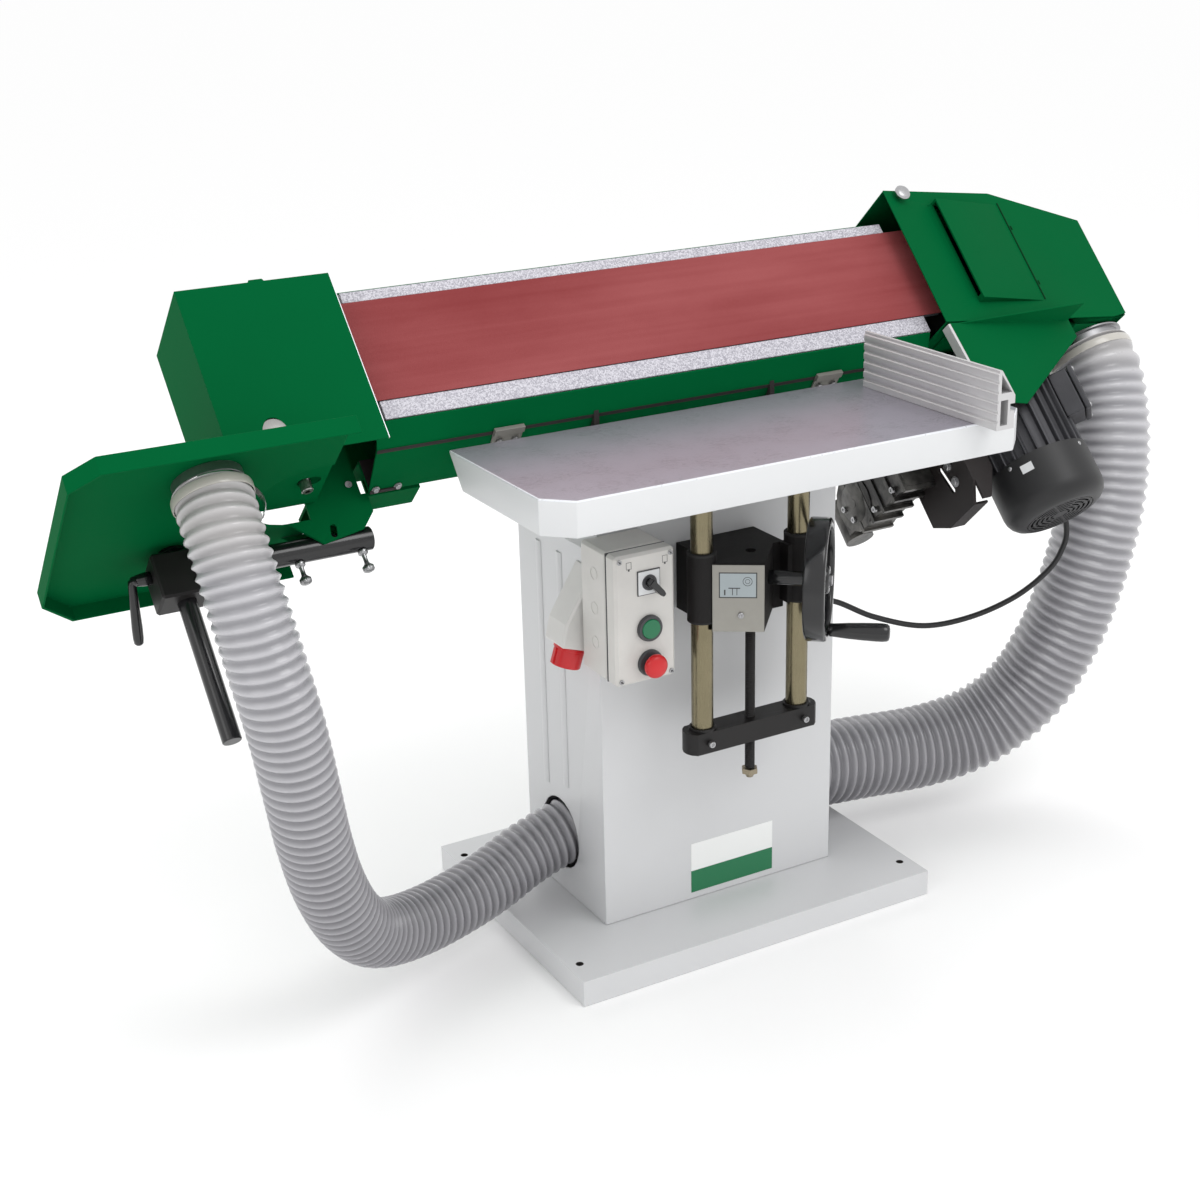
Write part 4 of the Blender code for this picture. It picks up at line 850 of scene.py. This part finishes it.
def make_table():
    left, right, front, back, c = -0.3975, 0.3487, -0.3675, -0.0808, 0.0345
    top, low = TABLE_TOP, TABLE_LOW
    outline = rounded([(left, front + c), (left + c, front), (right - c, front), (right, front + c), (right, back),
                       (left, back)], 0.0030)
    # Each level gives an inset, a height and the finish of the band down to the next level; finish 1 marks the two
    # narrow bands under the top edge, a painted highlight where the bevel catches the light.
    levels = [(0.0016, top, 1), (0.0004, top - 0.0008, 1), (0.0, top - 0.0022, 0), (0.0, low + 0.0025, 0),
              (0.0008, low + 0.0008, 0), (0.0026, low, 0), (0.0090, low, 0), (0.0100, low + 0.002, 0),
              (0.0105, top - 0.012, 0)]
    mesh = bmesh.new()
    rings = []
    for amount, z, _ in levels:
        shape = inset(outline, amount)
        shape = [(x, min(y, back - 0.037)) if z < top - 0.011 and y > back - 0.030 else (x, y) for x, y in shape]
        rings.append([mesh.verts.new((x, y, z)) for x, y in shape])
    crown = mesh.faces.new(rings[0])
    crown.material_index = 2
    for (a, b), level in zip(zip(rings, rings[1:]), levels[:-1]):
        for i in range(len(a)):
            j = (i + 1) % len(a)
            face = mesh.faces.new((a[i], a[j], b[j], b[i]))
            face.material_index = level[2]
    mesh.faces.new(rings[-1])
    bmesh.ops.recalc_face_normals(mesh, faces=mesh.faces)
    piece("table_top_finished", mesh, ["table_enamel", "edge_bright", "table_ground"], "table", "ground_iron",
          "table_top", sharp=28.0)
    ribs = []
    for x0, x1, y0, y1 in ((-0.127, -0.119, -0.356, -0.130), (0.109, 0.117, -0.356, -0.130),
                           (-0.385, 0.337, -0.244, -0.236)):
        ribs.append(box((x0, x1), (y0, y1), (low + 0.004, top - 0.0125)))
    piece("table_ribs", joined(*ribs), "table_enamel", "table", "white_enamel", bevel=0.0010)
    seat = box((-0.118, 0.108), (POST_Y - 0.032, POST_Y + 0.032), (low + 0.0015, low + 0.020))
    piece("post_seat", seat, "table_enamel", "table", "white_enamel", bevel=0.003)

    for side, x in zip(("left", "right"), POSTS):
        post = [(0, 0.3362), (POST_R - 0.001, 0.3362), (POST_R, 0.3375), (POST_R, 0.7455), (0, 0.7455)]
        piece(f"post_{side}_finished", turned(post, "z", (x, POST_Y), 72), "post_steel", "table", "ground_steel",
              f"post_{side}")
    refined("cross_bar", "black_enamel", "table", "black_enamel", 0.0040, 4)
    screws = [cap_screw((x, POST_Y - 0.0222, 0.350), (0, -1, 0), 0.0048) for x in POSTS]
    caps = [post_ring(x, 0.0195, 0.3655, 0.3690, 0.3700) for x in POSTS]
    fasteners("cross_bar_screws", screws, "table")
    piece("cross_bar_collars", joined(*caps), "black_enamel", "table", "black_enamel")

    refined("fence", "fence_aluminium", "fence", "aluminium", 0.00035, 1)
    x0, base = 0.245, TABLE_TOP
    bolts = []
    for y in (-0.388, -0.150):
        bolts.append(hex_bolt((x0 + 0.0305, y, base + 0.0293), (1, 0, 0), 0.0062))
    fasteners("fence_bolts", bolts, "fence")


make_lift()
make_table()


# ---------------------------------------------------------------- sanding unit
def unit_piece(name, mesh, finish, slot, replaces=(), body="unit", **more):
    return piece(name, placed(mesh, UNIT), finish, body, slot, replaces, **more)


def roller(radius, mouth, floor, neck, hub, bore, depth):
    """Section of a belt roller: a drum with dished ends and a bored hub."""
    half = [(radius - 0.0022, 0.002), (mouth, 0.002), (floor, depth), (neck, depth), (hub, 0.001), (bore, 0.001)]
    far = [(r, BELT_W - z) for r, z in half]
    face = [(radius - 0.0021, 0.0035), (radius - 0.0021, BELT_W - 0.0035)]
    return half[:1] + face + far + half[:0:-1]


def make_belt():
    swing = math.degrees(2 * math.asin((DRIVE_R - IDLER_R) / math.hypot(DRIVE_X - IDLER_X, DRIVE_R - IDLER_R)))

    def loop(inward):
        return (arc(DRIVE, DRIVE_R - inward, -90, 90 + swing, 44)
                + arc(IDLER, IDLER_R - inward, 90 + swing, 270, 36))

    outer, inner = loop(0.0), loop(BELT_T)
    mesh = bmesh.new()
    rings = []
    for shape, level in ((outer, 0.0), (outer, BELT_W), (inner, BELT_W), (inner, 0.0)):
        rings.append([mesh.verts.new((x, y, level)) for x, y in shape])
    for a, b in zip(rings, rings[1:] + rings[:1]):
        for i in range(len(a)):
            j = (i + 1) % len(a)
            mesh.faces.new((a[i], a[j], b[j], b[i]))
    bmesh.ops.recalc_face_normals(mesh, faces=mesh.faces)
    unit_piece("sanding_belt_finished", mesh, "belt_grit", "abrasive_cloth", "sanding_belt")
    refined("rail_lower", "rail_spangle", "unit", "galvanised", 0.0012)
    refined("rail_upper", "rail_spangle", "unit", "galvanised", 0.0012)
    refined("platen", "table_ground", "unit", "ground_iron", 0.0008)
    refined("belt_frame", "arm_enamel", "unit", "black_enamel", 0.0008)

    drum = roller(DRIVE_R, 0.068, 0.066, 0.024, 0.0225, 0.0143, 0.016)
    unit_piece("drive_roller_finished", turned(drum, "z", DRIVE, 96), "roller_rubber", "roller_rubber",
               "drive_roller", "rotor")
    shaft = [(0, -0.300), (0.0115, -0.300), (0.0120, -0.299), (0.0120, -0.020), (0.0140, -0.019), (0.0140, 0.1540),
             (0.0132, 0.155), (0, 0.155)]
    unit_piece("motor_shaft_finished", turned(shaft, "z", DRIVE, 48), "turned_steel", "bright_steel",
               "motor_shaft", "rotor")
    unit_piece("roller_nut", hex_bolt((DRIVE_X, DRIVE_R, 0.1549), (0, 0, 1), 0.012, 0.008), "zinc_plate",
               "bright_steel",
               body="rotor")
    drum = roller(IDLER_R, 0.044, 0.042, 0.018, 0.017, 0.0084, 0.010)
    unit_piece("idler_roller_finished", turned(drum, "z", IDLER, 88), "idler_alloy", "aluminium",
               "idler_roller", "idler")
    pin = [(0.0036, -0.086), (0.0072, -0.086), (0.0080, -0.085), (0.0080, 0.165), (0.0074, 0.166), (0, 0.166),
           (0, -0.078), (0.0036, -0.078)]
    unit_piece("idler_shaft_finished", turned(pin, "z", IDLER, 48), "turned_steel", "bright_steel",
               "idler_shaft", "carriage")
    refined("idler_fork", "turned_steel", "carriage", "bright_steel", 0.0010)


def make_guards():
    refined("rear_guard", "green_enamel", "unit", "green_enamel", 0.0007)
    fold, edge = Vector((0.0300, -0.0560)), Vector((0.1050, -0.0780))
    along = (edge - fold).normalized()
    out = Vector((along.y, -along.x))

    def under(distance, lift):
        """Section point on the guard's lower wall, counted from its fold and standing off by lift."""
        return tuple(fold + along * distance + out * lift)

    # Painted shadow: a dark strip along the fold of the guard's lower wall.
    seam = prism([under(-0.0005, 0.0003), under(0.0055, 0.0003), under(0.0055, 0.0010), under(-0.0010, 0.0010)],
                 "x",
                 -0.4895, 0.4085)
    unit_piece("guard_seam_shadow", seam, "dark_inside", "cable_rubber")
    # Painted shade: a dark sheet inside the left end of the guard, where its inside lies in shadow.
    inner_shade = [(0.0030, -0.0284), (0.0311, -0.0526), (0.1020, -0.0735), (0.1020, -0.0308), (0.1010, -0.0308),
              (0.1010, -0.0722), (0.0318, -0.0517), (0.0040, -0.0276)]
    unit_piece("guard_inner_shade", prism(inner_shade, "x", -0.4885, -0.2600), "dark_inside", "cable_rubber")
    plates, screws = [], []
    for x in (-0.300, 0.224):
        shape = [under(-0.0060, 0.0003), under(-0.0060, 0.0070), under(0.0040, 0.0070), under(0.0060, 0.0034),
                 under(0.0340, 0.0034), under(0.0340, 0.0003)]
        plates.append(prism(shape, "x", x - 0.0225, x + 0.0225))
        for offset in (-0.0120, 0.0120):
            back, up = under(0.0170, 0.0034)
            screws.append(cap_screw((x + offset, back, up), (0, out.x, out.y), 0.0050, 0.0040))
    unit_piece("guard_brackets", joined(*plates), "bracket_grey", "light_plastic", bevel=0.0008)
    unit_fasteners("guard_bracket_screws", screws)
    strip = prism([under(0.0740, 0.0003), under(0.0790, 0.0003), under(0.0790, 0.0024), under(0.0740, 0.0024)], "x",
                  -0.4890, -0.4450)
    unit_piece("guard_hem", strip, "arm_enamel", "black_enamel", bevel=0.0004)
    bolts = [hex_bolt((x, *under(0.0730, 0.0008)), (0, out.x, out.y), 0.0042, 0.0034) for x in (-0.481, -0.449)]
    unit_fasteners("guard_hem_bolts", bolts)
    for side in ("left", "right"):
        refined(f"tilt_arm_{side}", "arm_enamel", "unit", "black_enamel", 0.0010)
    washers = []
    for x, way in ((-0.161, 1), (0.121, -1)):
        washers.append(turned([(0.0083, x), (0.0150, x), (0.0150, x + way * 0.0022), (0.0083, x + way * 0.0022)],
                              "x",
                              (PIVOT_B, PIVOT_W), 40))
    unit_fasteners("pivot_washers", washers)


def make_idler_cover():
    refined("idler_cover", "green_enamel", "unit", "green_enamel", 0.0011, 3)
    sleeve = turned([(0, -0.0368), (0.0060, -0.0366), (0.0120, -0.0360), (0.0165, -0.0348), (0.0180, -0.0335),
                     (0.0180, -0.0322), (0, -0.0322)], "y", (-0.636, -0.037), 56)
    unit_piece("tracking_sleeve", sleeve, "turned_steel", "bright_steel")
    screws = [pan_screw((x, 0.1161, z), (0, 1, 0), 0.0050) for x in (-0.690, -0.508) for z in (-0.055, 0.160)]
    unit_fasteners("idler_cover_screws", screws)
    tab = prism([(-0.6050, 0.1778), (-0.5830, 0.1778), (-0.5850, 0.1815), (-0.6030, 0.1815)], "y", -0.0345, -0.0320)
    unit_piece("idler_cover_tab", tab, "green_enamel", "green_enamel", bevel=0.0004)
    # Painted highlight along the open edge of the cover.
    rim = box((-0.4955, -0.4944), (-0.0350, -0.0322), (-0.0715, 0.1775))
    unit_piece("idler_cover_rim", rim, "edge_bright", "bright_steel")


def make_hood():
    for node, body, bevel in (("drive_hood", "unit", 0.0010), ("drive_door", "door", 0.0007),
                              ("drive_flap", "unit", 0.0007)):
        refined(node, "green_enamel", body, "green_enamel", bevel, 2)
    angle = math.atan(HOOD_SLOPE)
    # Painted shadow: the door seams are thin strips of the darker green standing for the shadow lines along the
    # door's edges.
    lines = []
    for x, low, high in ((0.6590, 0.000, 0.1830), (0.6640, 0.1320, 0.1390), (0.6640, 0.0280, 0.0350)):
        line = box((-0.0012, 0.0012), (-0.0010, -0.0002), (low, high))
        lines.append(placed(line, Matrix.Translation((x, hood_face(x), 0)), Matrix.Rotation(angle, 4, "Z")))
    unit_piece("door_seam_shadows", joined(*lines), "green_shade", "green_enamel")
    strip = placed(box((-0.0050, -0.0004), (0.0006, 0.0180), (-0.1500, -0.0390)),
                   Matrix.Translation((0.4197, hood_face(0.4197), 0)), Matrix.Rotation(math.radians(-3.0), 4, "Y"))
    unit_piece("flap_edge", strip, "fence_aluminium", "bright_steel", bevel=0.0006)
    depth = hood_face(0.4445) - 0.0012
    knob = [(0, -0.0140), (0.0070, -0.0138), (0.0105, -0.0126), (0.0124, -0.0105), (0.0125, -0.0085), (0.0110,
                                                                                                       -0.0066),
            (0.0070, -0.0052), (0.0052, -0.0035), (0.0052, -0.0002), (0.0040, 0), (0.0040, 0.0120), (0, 0.0120)]
    unit_piece("door_knob_finished", turned(from_level(depth, knob), "y", (0.4445, 0.1915), 56), "zinc_plate",
               "bright_steel", "door_knob", "knob")
    ring = [(0.0650, -0.0467), (0.0650, -0.0492), (0.0600, -0.0497), (0.0590, -0.0505), (0.0590, -0.0606),
            (0.0586, -0.0610), (0.0568, -0.0610), (0.0565, -0.0606), (0.0565, -0.0467)]
    unit_piece("drive_spigot_finished", turned(ring, "z", RIGHT_SPIGOT, 88), "spigot_zinc", "bright_steel",
               "drive_spigot")


def make_motor():
    fins, core = 26, 0.0715
    outline = []
    for i in range(fins):
        for step, radius in ((-0.02, core), (0.05, MOTOR_R - 0.0022), (0.09, MOTOR_R - 0.0012), (0.19,
                                                                                                 MOTOR_R - 0.0012),
                             (0.23, MOTOR_R - 0.0022), (0.30, core), (0.48, core - 0.0006), (0.80, core - 0.0006)):
            angle = 2 * math.pi * (i + step) / fins
            outline.append((DRIVE_X + radius * math.cos(angle), DRIVE_R + radius * math.sin(angle)))
    keep = []
    for x, y in outline:
        face = hood_face(x) + 0.0048
        keep.append((x, max(y, face)) if x < 0.70 and y < face else (x, y))
    upper = prism(keep, "z", -0.196, MOTOR_TOP - 0.012)
    lower = prism(outline, "z", MOTOR_LOW, -0.196)
    flange = turned([(0, MOTOR_TOP - 0.012), (0.0710, MOTOR_TOP - 0.012), (0.0710, MOTOR_TOP), (0, MOTOR_TOP)], "z",
                    DRIVE, 88)
    boss = box((0.592, 0.645), (0.106, 0.152), (-0.2315, -0.2065))
    bmesh.ops.bevel(boss, geom=boss.edges[:], offset=0.003, segments=3, affect="EDGES")
    unit_piece("motor_body_finished", joined(upper, lower, flange, boss), "motor_cast", "motor_alloy", "motor_body",
               sharp=25.0)
    gland = [turned([(0, -0.2315), (0.0082, -0.2315), (0.0082, -0.2345), (0.0078, -0.2350), (0, -0.2350)], "z",
                    GLAND, 6),
             turned([(0.0048, -0.2380), (0.0060, -0.2380), (0.0074, -0.2355), (0.0078, -0.2340), (0.0048, -0.2340)],
                    "z", GLAND, 40)]
    unit_piece("cable_gland", joined(*gland), "black_gloss", "black_plastic")
    side = (UNIT, Matrix.Translation((DRIVE_X, DRIVE_R, 0)), Matrix.Rotation(math.radians(-38), 4, "Z"))
    lid = box((0.1010, 0.1100), (-0.0310, 0.0310), (-0.2060, -0.1300))
    tub = box((0.0705, 0.1004), (-0.0295, 0.0295), (-0.2045, -0.1315))
    piece("terminal_box_finished", placed(joined(lid, tub), *side), "motor_cast", "unit", "motor_alloy",
          "terminal_box",
          bevel=0.0028, segments=3)
    screws = [pan_screw((0.1099, y, z), (1, 0, 0), 0.0040) for y in (-0.025, 0.025) for z in (-0.200, -0.136)]
    piece("terminal_screws", placed(joined(*screws), *side), "zinc_plate", "unit", "bright_steel")

    cap, low = MOTOR_R + 0.0005, -0.3320
    dome = [(cap, MOTOR_LOW - GAP), (cap, low + 0.0280), (cap - 0.0012, low + 0.0190), (cap - 0.0050, low + 0.0110),
            (cap - 0.0110, low + 0.0050), (cap - 0.0190, low + 0.0012), (cap - 0.0240, low), (cap - 0.0270, low),
            (cap - 0.0270, low + 0.0025), (cap - 0.0190, low + 0.0037), (cap - 0.0120, low + 0.0070),
            (cap - 0.0068, low + 0.0120), (cap - 0.0037, low + 0.0180), (cap - 0.0025, low + 0.0260),
            (cap - 0.0025, MOTOR_LOW - GAP)]
    grille = []
    for radius in (0.0500, 0.0420, 0.0340, 0.0260, 0.0180):
        near, far = radius - 0.0022, radius + 0.0022
        grille.append(turned(from_level(low, [(near, 0), (far, 0), (far, 0.0025), (near, 0.0025)]), "z", DRIVE, 72))
    for i in range(8):
        bar = box((0.0105, 0.0560), (-0.0018, 0.0018), (low + 0.0002, low + 0.0023))
        grille.append(placed(bar, Matrix.Translation((DRIVE_X, DRIVE_R, 0)), Matrix.Rotation(math.pi / 4 * i, 4,
                                                                                             "Z")))
    grille.append(turned([(0, low), (0.0125, low), (0.0125, low + 0.0025), (0, low + 0.0025)], "z",
                         DRIVE, 48))
    unit_piece("fan_cover_finished", joined(turned(dome, "z", DRIVE, 112), *grille), "fan_black",
               "black_plastic", "fan_cover", sharp=40.0)
    screws = []
    for i in range(4):
        a = math.radians(20 + 90 * i)
        reach = cap - 0.0004
        screws.append(pan_screw((DRIVE_X + reach * math.cos(a), DRIVE_R + reach * math.sin(a), -0.2540),
                                (math.cos(a), math.sin(a), 0), 0.0036, 0.0016))
    unit_fasteners("fan_cover_screws", screws)
    a = math.radians(-142)
    tag = placed(box((-0.0095, 0.0095), (-0.0002, 0.0004), (-0.0065, 0.0065)),
                 Matrix.Translation((DRIVE_X + (cap + 0.0003) * math.cos(a), DRIVE_R + (cap + 0.0003) * math.sin(a),
                                     -0.2660)), Matrix.Rotation(a + math.pi / 2, 4, "Z"))
    unit_piece("motor_tag", tag, "ink_white", "light_plastic")
    hub = [(0.0123, -0.296), (0.0670, -0.296), (0.0675, -0.293), (0.0205, -0.292), (0.0200, -0.270), (0.0123,
                                                                                                      -0.270)]
    blades = [turned(hub, "z", DRIVE, 64)]
    for i in range(8):
        blade = box((0.019, 0.064), (-0.0010, 0.0010), (-0.2925, -0.2630))
        blades.append(placed(blade, Matrix.Translation((DRIVE_X, DRIVE_R, 0)), Matrix.Rotation(math.pi / 4 * i, 4,
                                                                                               "Z")))
    unit_piece("cooling_fan_finished", joined(*blades), "fan_black", "black_plastic", "cooling_fan", "rotor")
    refined("motor_mount", "arm_enamel", "unit", "black_enamel", 0.0010)
    bolts = [hex_bolt((DRIVE_X + x, DRIVE_R + y, -0.0398), (0, 0, 1), 0.0065) for x, y in
             ((-0.06, 0.0), (0.06, 0.0), (0.0, 0.06))]
    unit_fasteners("motor_bolts", bolts)

    refined("gear_bracket", "arm_enamel", "unit", "black_enamel", 0.0008)
    bolts = [hex_bolt((0.4251, y, z), (1, 0, 0), 0.0062) for y, z in ((0.180, -0.228), (0.180, -0.150),
                                                                      (0.180, -0.100))]
    bolts += [hex_bolt((0.4199, y, z), (-1, 0, 0), 0.0062) for y, z in ((0.108, -0.232), (0.110, -0.205))]
    unit_fasteners("gear_bracket_bolts", bolts)
    refined("gear_housing", "gear_cast", "unit", "motor_alloy", 0.0016, 3)
    extra = []
    for y, z in ((0.165, -0.135), (0.225, -0.135), (0.180, -0.196), (0.240, -0.198), (0.300, -0.185), (0.312,
                                                                                                       -0.160)):
        extra.append(cap_screw((0.3612, y, z), (-1, 0, 0), 0.0052, 0.0042))
    unit_fasteners("gear_housing_screws", extra)
    lid = [turned([(0, 0.3605), (0.0300, 0.3605), (0.0330, 0.3625), (0, 0.3625)], "x", (0.286, -0.163), 56),
           turned([(0, 0.3600), (0.0080, 0.3600), (0.0080, 0.3612), (0, 0.3612)], "x", (0.286, -0.163), 6)]
    unit_piece("gear_housing_lid", joined(*lid), "gear_cast", "motor_alloy")


def make_aux():
    refined("aux_table", "green_enamel", "aux", "green_enamel", 0.0012, 3)
    under = AUX_TOP - AUX_SHEET - GAP
    collar = from_level(under, [(0.0440, 0), (0.0440, -0.0115), (0.0436, -0.012), (0.0419, -0.012),
                                (0.0415, -0.0115), (0.0415, 0)])
    unit_piece("aux_spigot_finished", turned(collar, "z", LEFT_SPIGOT, 80), "spigot_zinc", "bright_steel",
               "aux_spigot", "aux")
    rod = [(0, under), (0.0175, under), (0.0180, under - 0.0008), (0.0180, under - 0.0050), (0.0170,
                                                                                             under - 0.0062),
           (ROD_R, under - 0.0080), (ROD_R, -0.3588), (ROD_R - 0.0010, -0.3600), (0, -0.3600)]
    unit_piece("aux_rod_finished", turned(rod, "z", (ROD_X, ARM_B), 64), "black_gloss", "bright_steel", "aux_rod",
               "aux")
    heads = [pan_screw((x, y, AUX_TOP + 0.0002), (0, 0, 1), 0.0055, 0.0015) for x in (ROD_X - 0.011, ROD_X + 0.011)
             for y in (ARM_B - 0.011, ARM_B + 0.011)]
    unit_fasteners("aux_table_screws", heads, "aux")
    refined("clamp_block", "black_enamel", "unit", "black_enamel", 0.0025, 4)
    bolts = [cap_screw((-0.742, 0.1118, -0.118), (0, -1, 0), 0.0050), cap_screw((-0.742, 0.1118, -0.150), (0, -1,
                                                                                                           0),
                                                                             0.0050)]
    unit_fasteners("clamp_block_screws", bolts)
    pipe = [(ARM_R - 0.0008, -0.7277), (ARM_R, -0.7270), (ARM_R, -0.4960), (ARM_R - 0.0008, -0.4950), (0.0130,
                                                                                                       -0.4950),
            (0.0125, -0.4958), (0.0125, -0.7277)]
    unit_piece("arm_tube_finished", turned(pipe, "x", (ARM_B, ARM_W), 72), "black_gloss", "black_enamel",
               "arm_tube")
    plug = [(0, -0.4965), (0.0120, -0.4965), (0.0124, -0.4972), (0.0124, -0.510), (0, -0.510)]
    unit_piece("arm_tube_plug", turned(plug, "x", (ARM_B, ARM_W), 48), "gasket_rubber", "cable_rubber")

    lever_x = -0.7933
    hub = [(0, lever_x), (0.0082, lever_x), (0.0090, lever_x - 0.0010), (0.0086, lever_x - 0.0100),
           (0.0070, lever_x - 0.0190), (0.0040, lever_x - 0.0215), (0, lever_x - 0.0220)]
    grip = [(0, -0.0860), (0.0036, -0.0855), (0.0060, -0.0830), (0.0068, -0.0760), (0.0070, -0.0620), (0.0060,
                                                                                                       -0.0300),
            (0.0054, -0.0050), (0.0050, 0.0005), (0.0030, 0.0020), (0, 0.0020)]
    drop = (Matrix.Translation((lever_x - 0.024, ARM_B, -0.124)), Matrix.Rotation(LEAN, 4, "X"))
    elbow = turned([(0, -0.0070), (0.0050, -0.0052), (0.0068, 0), (0.0050, 0.0052), (0, 0.0070)], "z", sides=32)
    elbow = placed(elbow, Matrix.Translation((lever_x - 0.0205, ARM_B, -0.1245)))
    unit_piece("clamp_lever_finished", joined(turned(hub, "x", (ARM_B, -0.124), 48), placed(turned(grip, "z",
                                                                                                   sides=40),
                                                                                        *drop), elbow),
               "black_gloss", "black_plastic", "clamp_lever", "lever", sharp=50.0)
    refined("arm_bracket", "green_enamel", "unit", "green_enamel", 0.0009, 2)

    def knurl(angle, height, radius):
        return -0.00045 * (1 if math.sin(angle * 24) > 0 else 0) if radius > 0.0075 else 0.0

    for number, x in ((1, -0.600), (2, -0.512)):
        top = ARM_W - ARM_R - GAP
        screw = from_level(top, [(0, 0), (0.0066, 0), (0.0068, -0.0006), (0.0068, -0.0044), (0.0060, -0.0052),
                                 (0.0034, -0.0068), (0.0030, -0.0120), (0.0034, -0.0185), (0.0062, -0.0220),
                                 (0.0079, -0.0235), (0.0080, -0.0280), (0.0074, -0.0296), (0.0050, -0.0308),
                                 (0, -0.0310)])
        name = "screw_outer" if number == 1 else "screw_inner"
        unit_piece(f"thumb_screw_{number}_finished", turned(screw, "z", (x, ARM_B), 96, knurl), "zinc_plate",
                   "bright_steel", f"thumb_screw_{number}", name, sharp=50.0)


def make_clamps():
    down = (UNIT.to_3x3() @ Vector((0, 0, -1))).normalized()
    middle = at(*LEFT_SPIGOT, AUX_TOP - AUX_SHEET - 0.026)
    band("left_hose_clamp", middle, down, LEFT_HOSE_R + 0.0002, 0.012, 0.0016, "unit")
    tab = prism(arc((0.0250, 0.0160), 0.0340, -36, 36, 14) + arc((0.0250, 0.0160), 0.0326, 36, -36, 14), "y",
                -0.0060, 0.0060)
    piece("left_clamp_tab", placed(tab, aimed(middle, down)), "clamp_steel", "unit", "bright_steel")
    band("right_hose_clamp", at(*RIGHT_SPIGOT, -0.0760), down, RIGHT_HOSE_R + 0.0002, 0.012, 0.0018, "unit")


make_belt()
make_guards()
make_idler_cover()
make_hood()
make_motor()
make_aux()
make_clamps()


# ---------------------------------------------------------------- studio
def make_studio():
    floor = bpy.data.meshes.new("floor")
    floor.from_pydata([(-30, -30, 0), (30, -30, 0), (30, 30, 0), (-30, 30, 0)], [], [(0, 1, 2, 3)])
    ground = bpy.data.objects.new("floor", floor)
    ground.location.z = -0.0005
    bpy.context.scene.collection.objects.link(ground)
    pale = Paint("floor_pale", (0.985, 0.985, 0.985), 0.9, specular=0.0)
    pale.set("Roughness", pale.noise(3.0) * 0.05 + 0.86)
    floor.materials.append(pale.material)
    world = bpy.data.worlds.new("studio")
    world.use_nodes = True
    world.node_tree.nodes["Background"].inputs["Color"].default_value = (1.0, 1.0, 1.0, 1.0)
    world.node_tree.nodes["Background"].inputs["Strength"].default_value = 1.0
    bpy.context.scene.world = world
    for name, place, size, power in (("key", (0.9, -2.2, 3.6), 1.8, 34.0), ("side", (-3.2, -1.2, 2.2), 1.6, 9.0),
                                     ("rim", (0.4, 3.0, 2.8), 2.0, 16.0)):
        data = bpy.data.lights.new(name, "AREA")
        data.size, data.energy = size, power
        lamp = bpy.data.objects.new(name, data)
        lamp.location = place
        lamp.rotation_euler = (Vector((0, 0, 0.55)) - Vector(place)).to_track_quat("-Z", "Y").to_euler()
        bpy.context.scene.collection.objects.link(lamp)
    bpy.context.scene.view_settings.view_transform = "Standard"


make_studio()
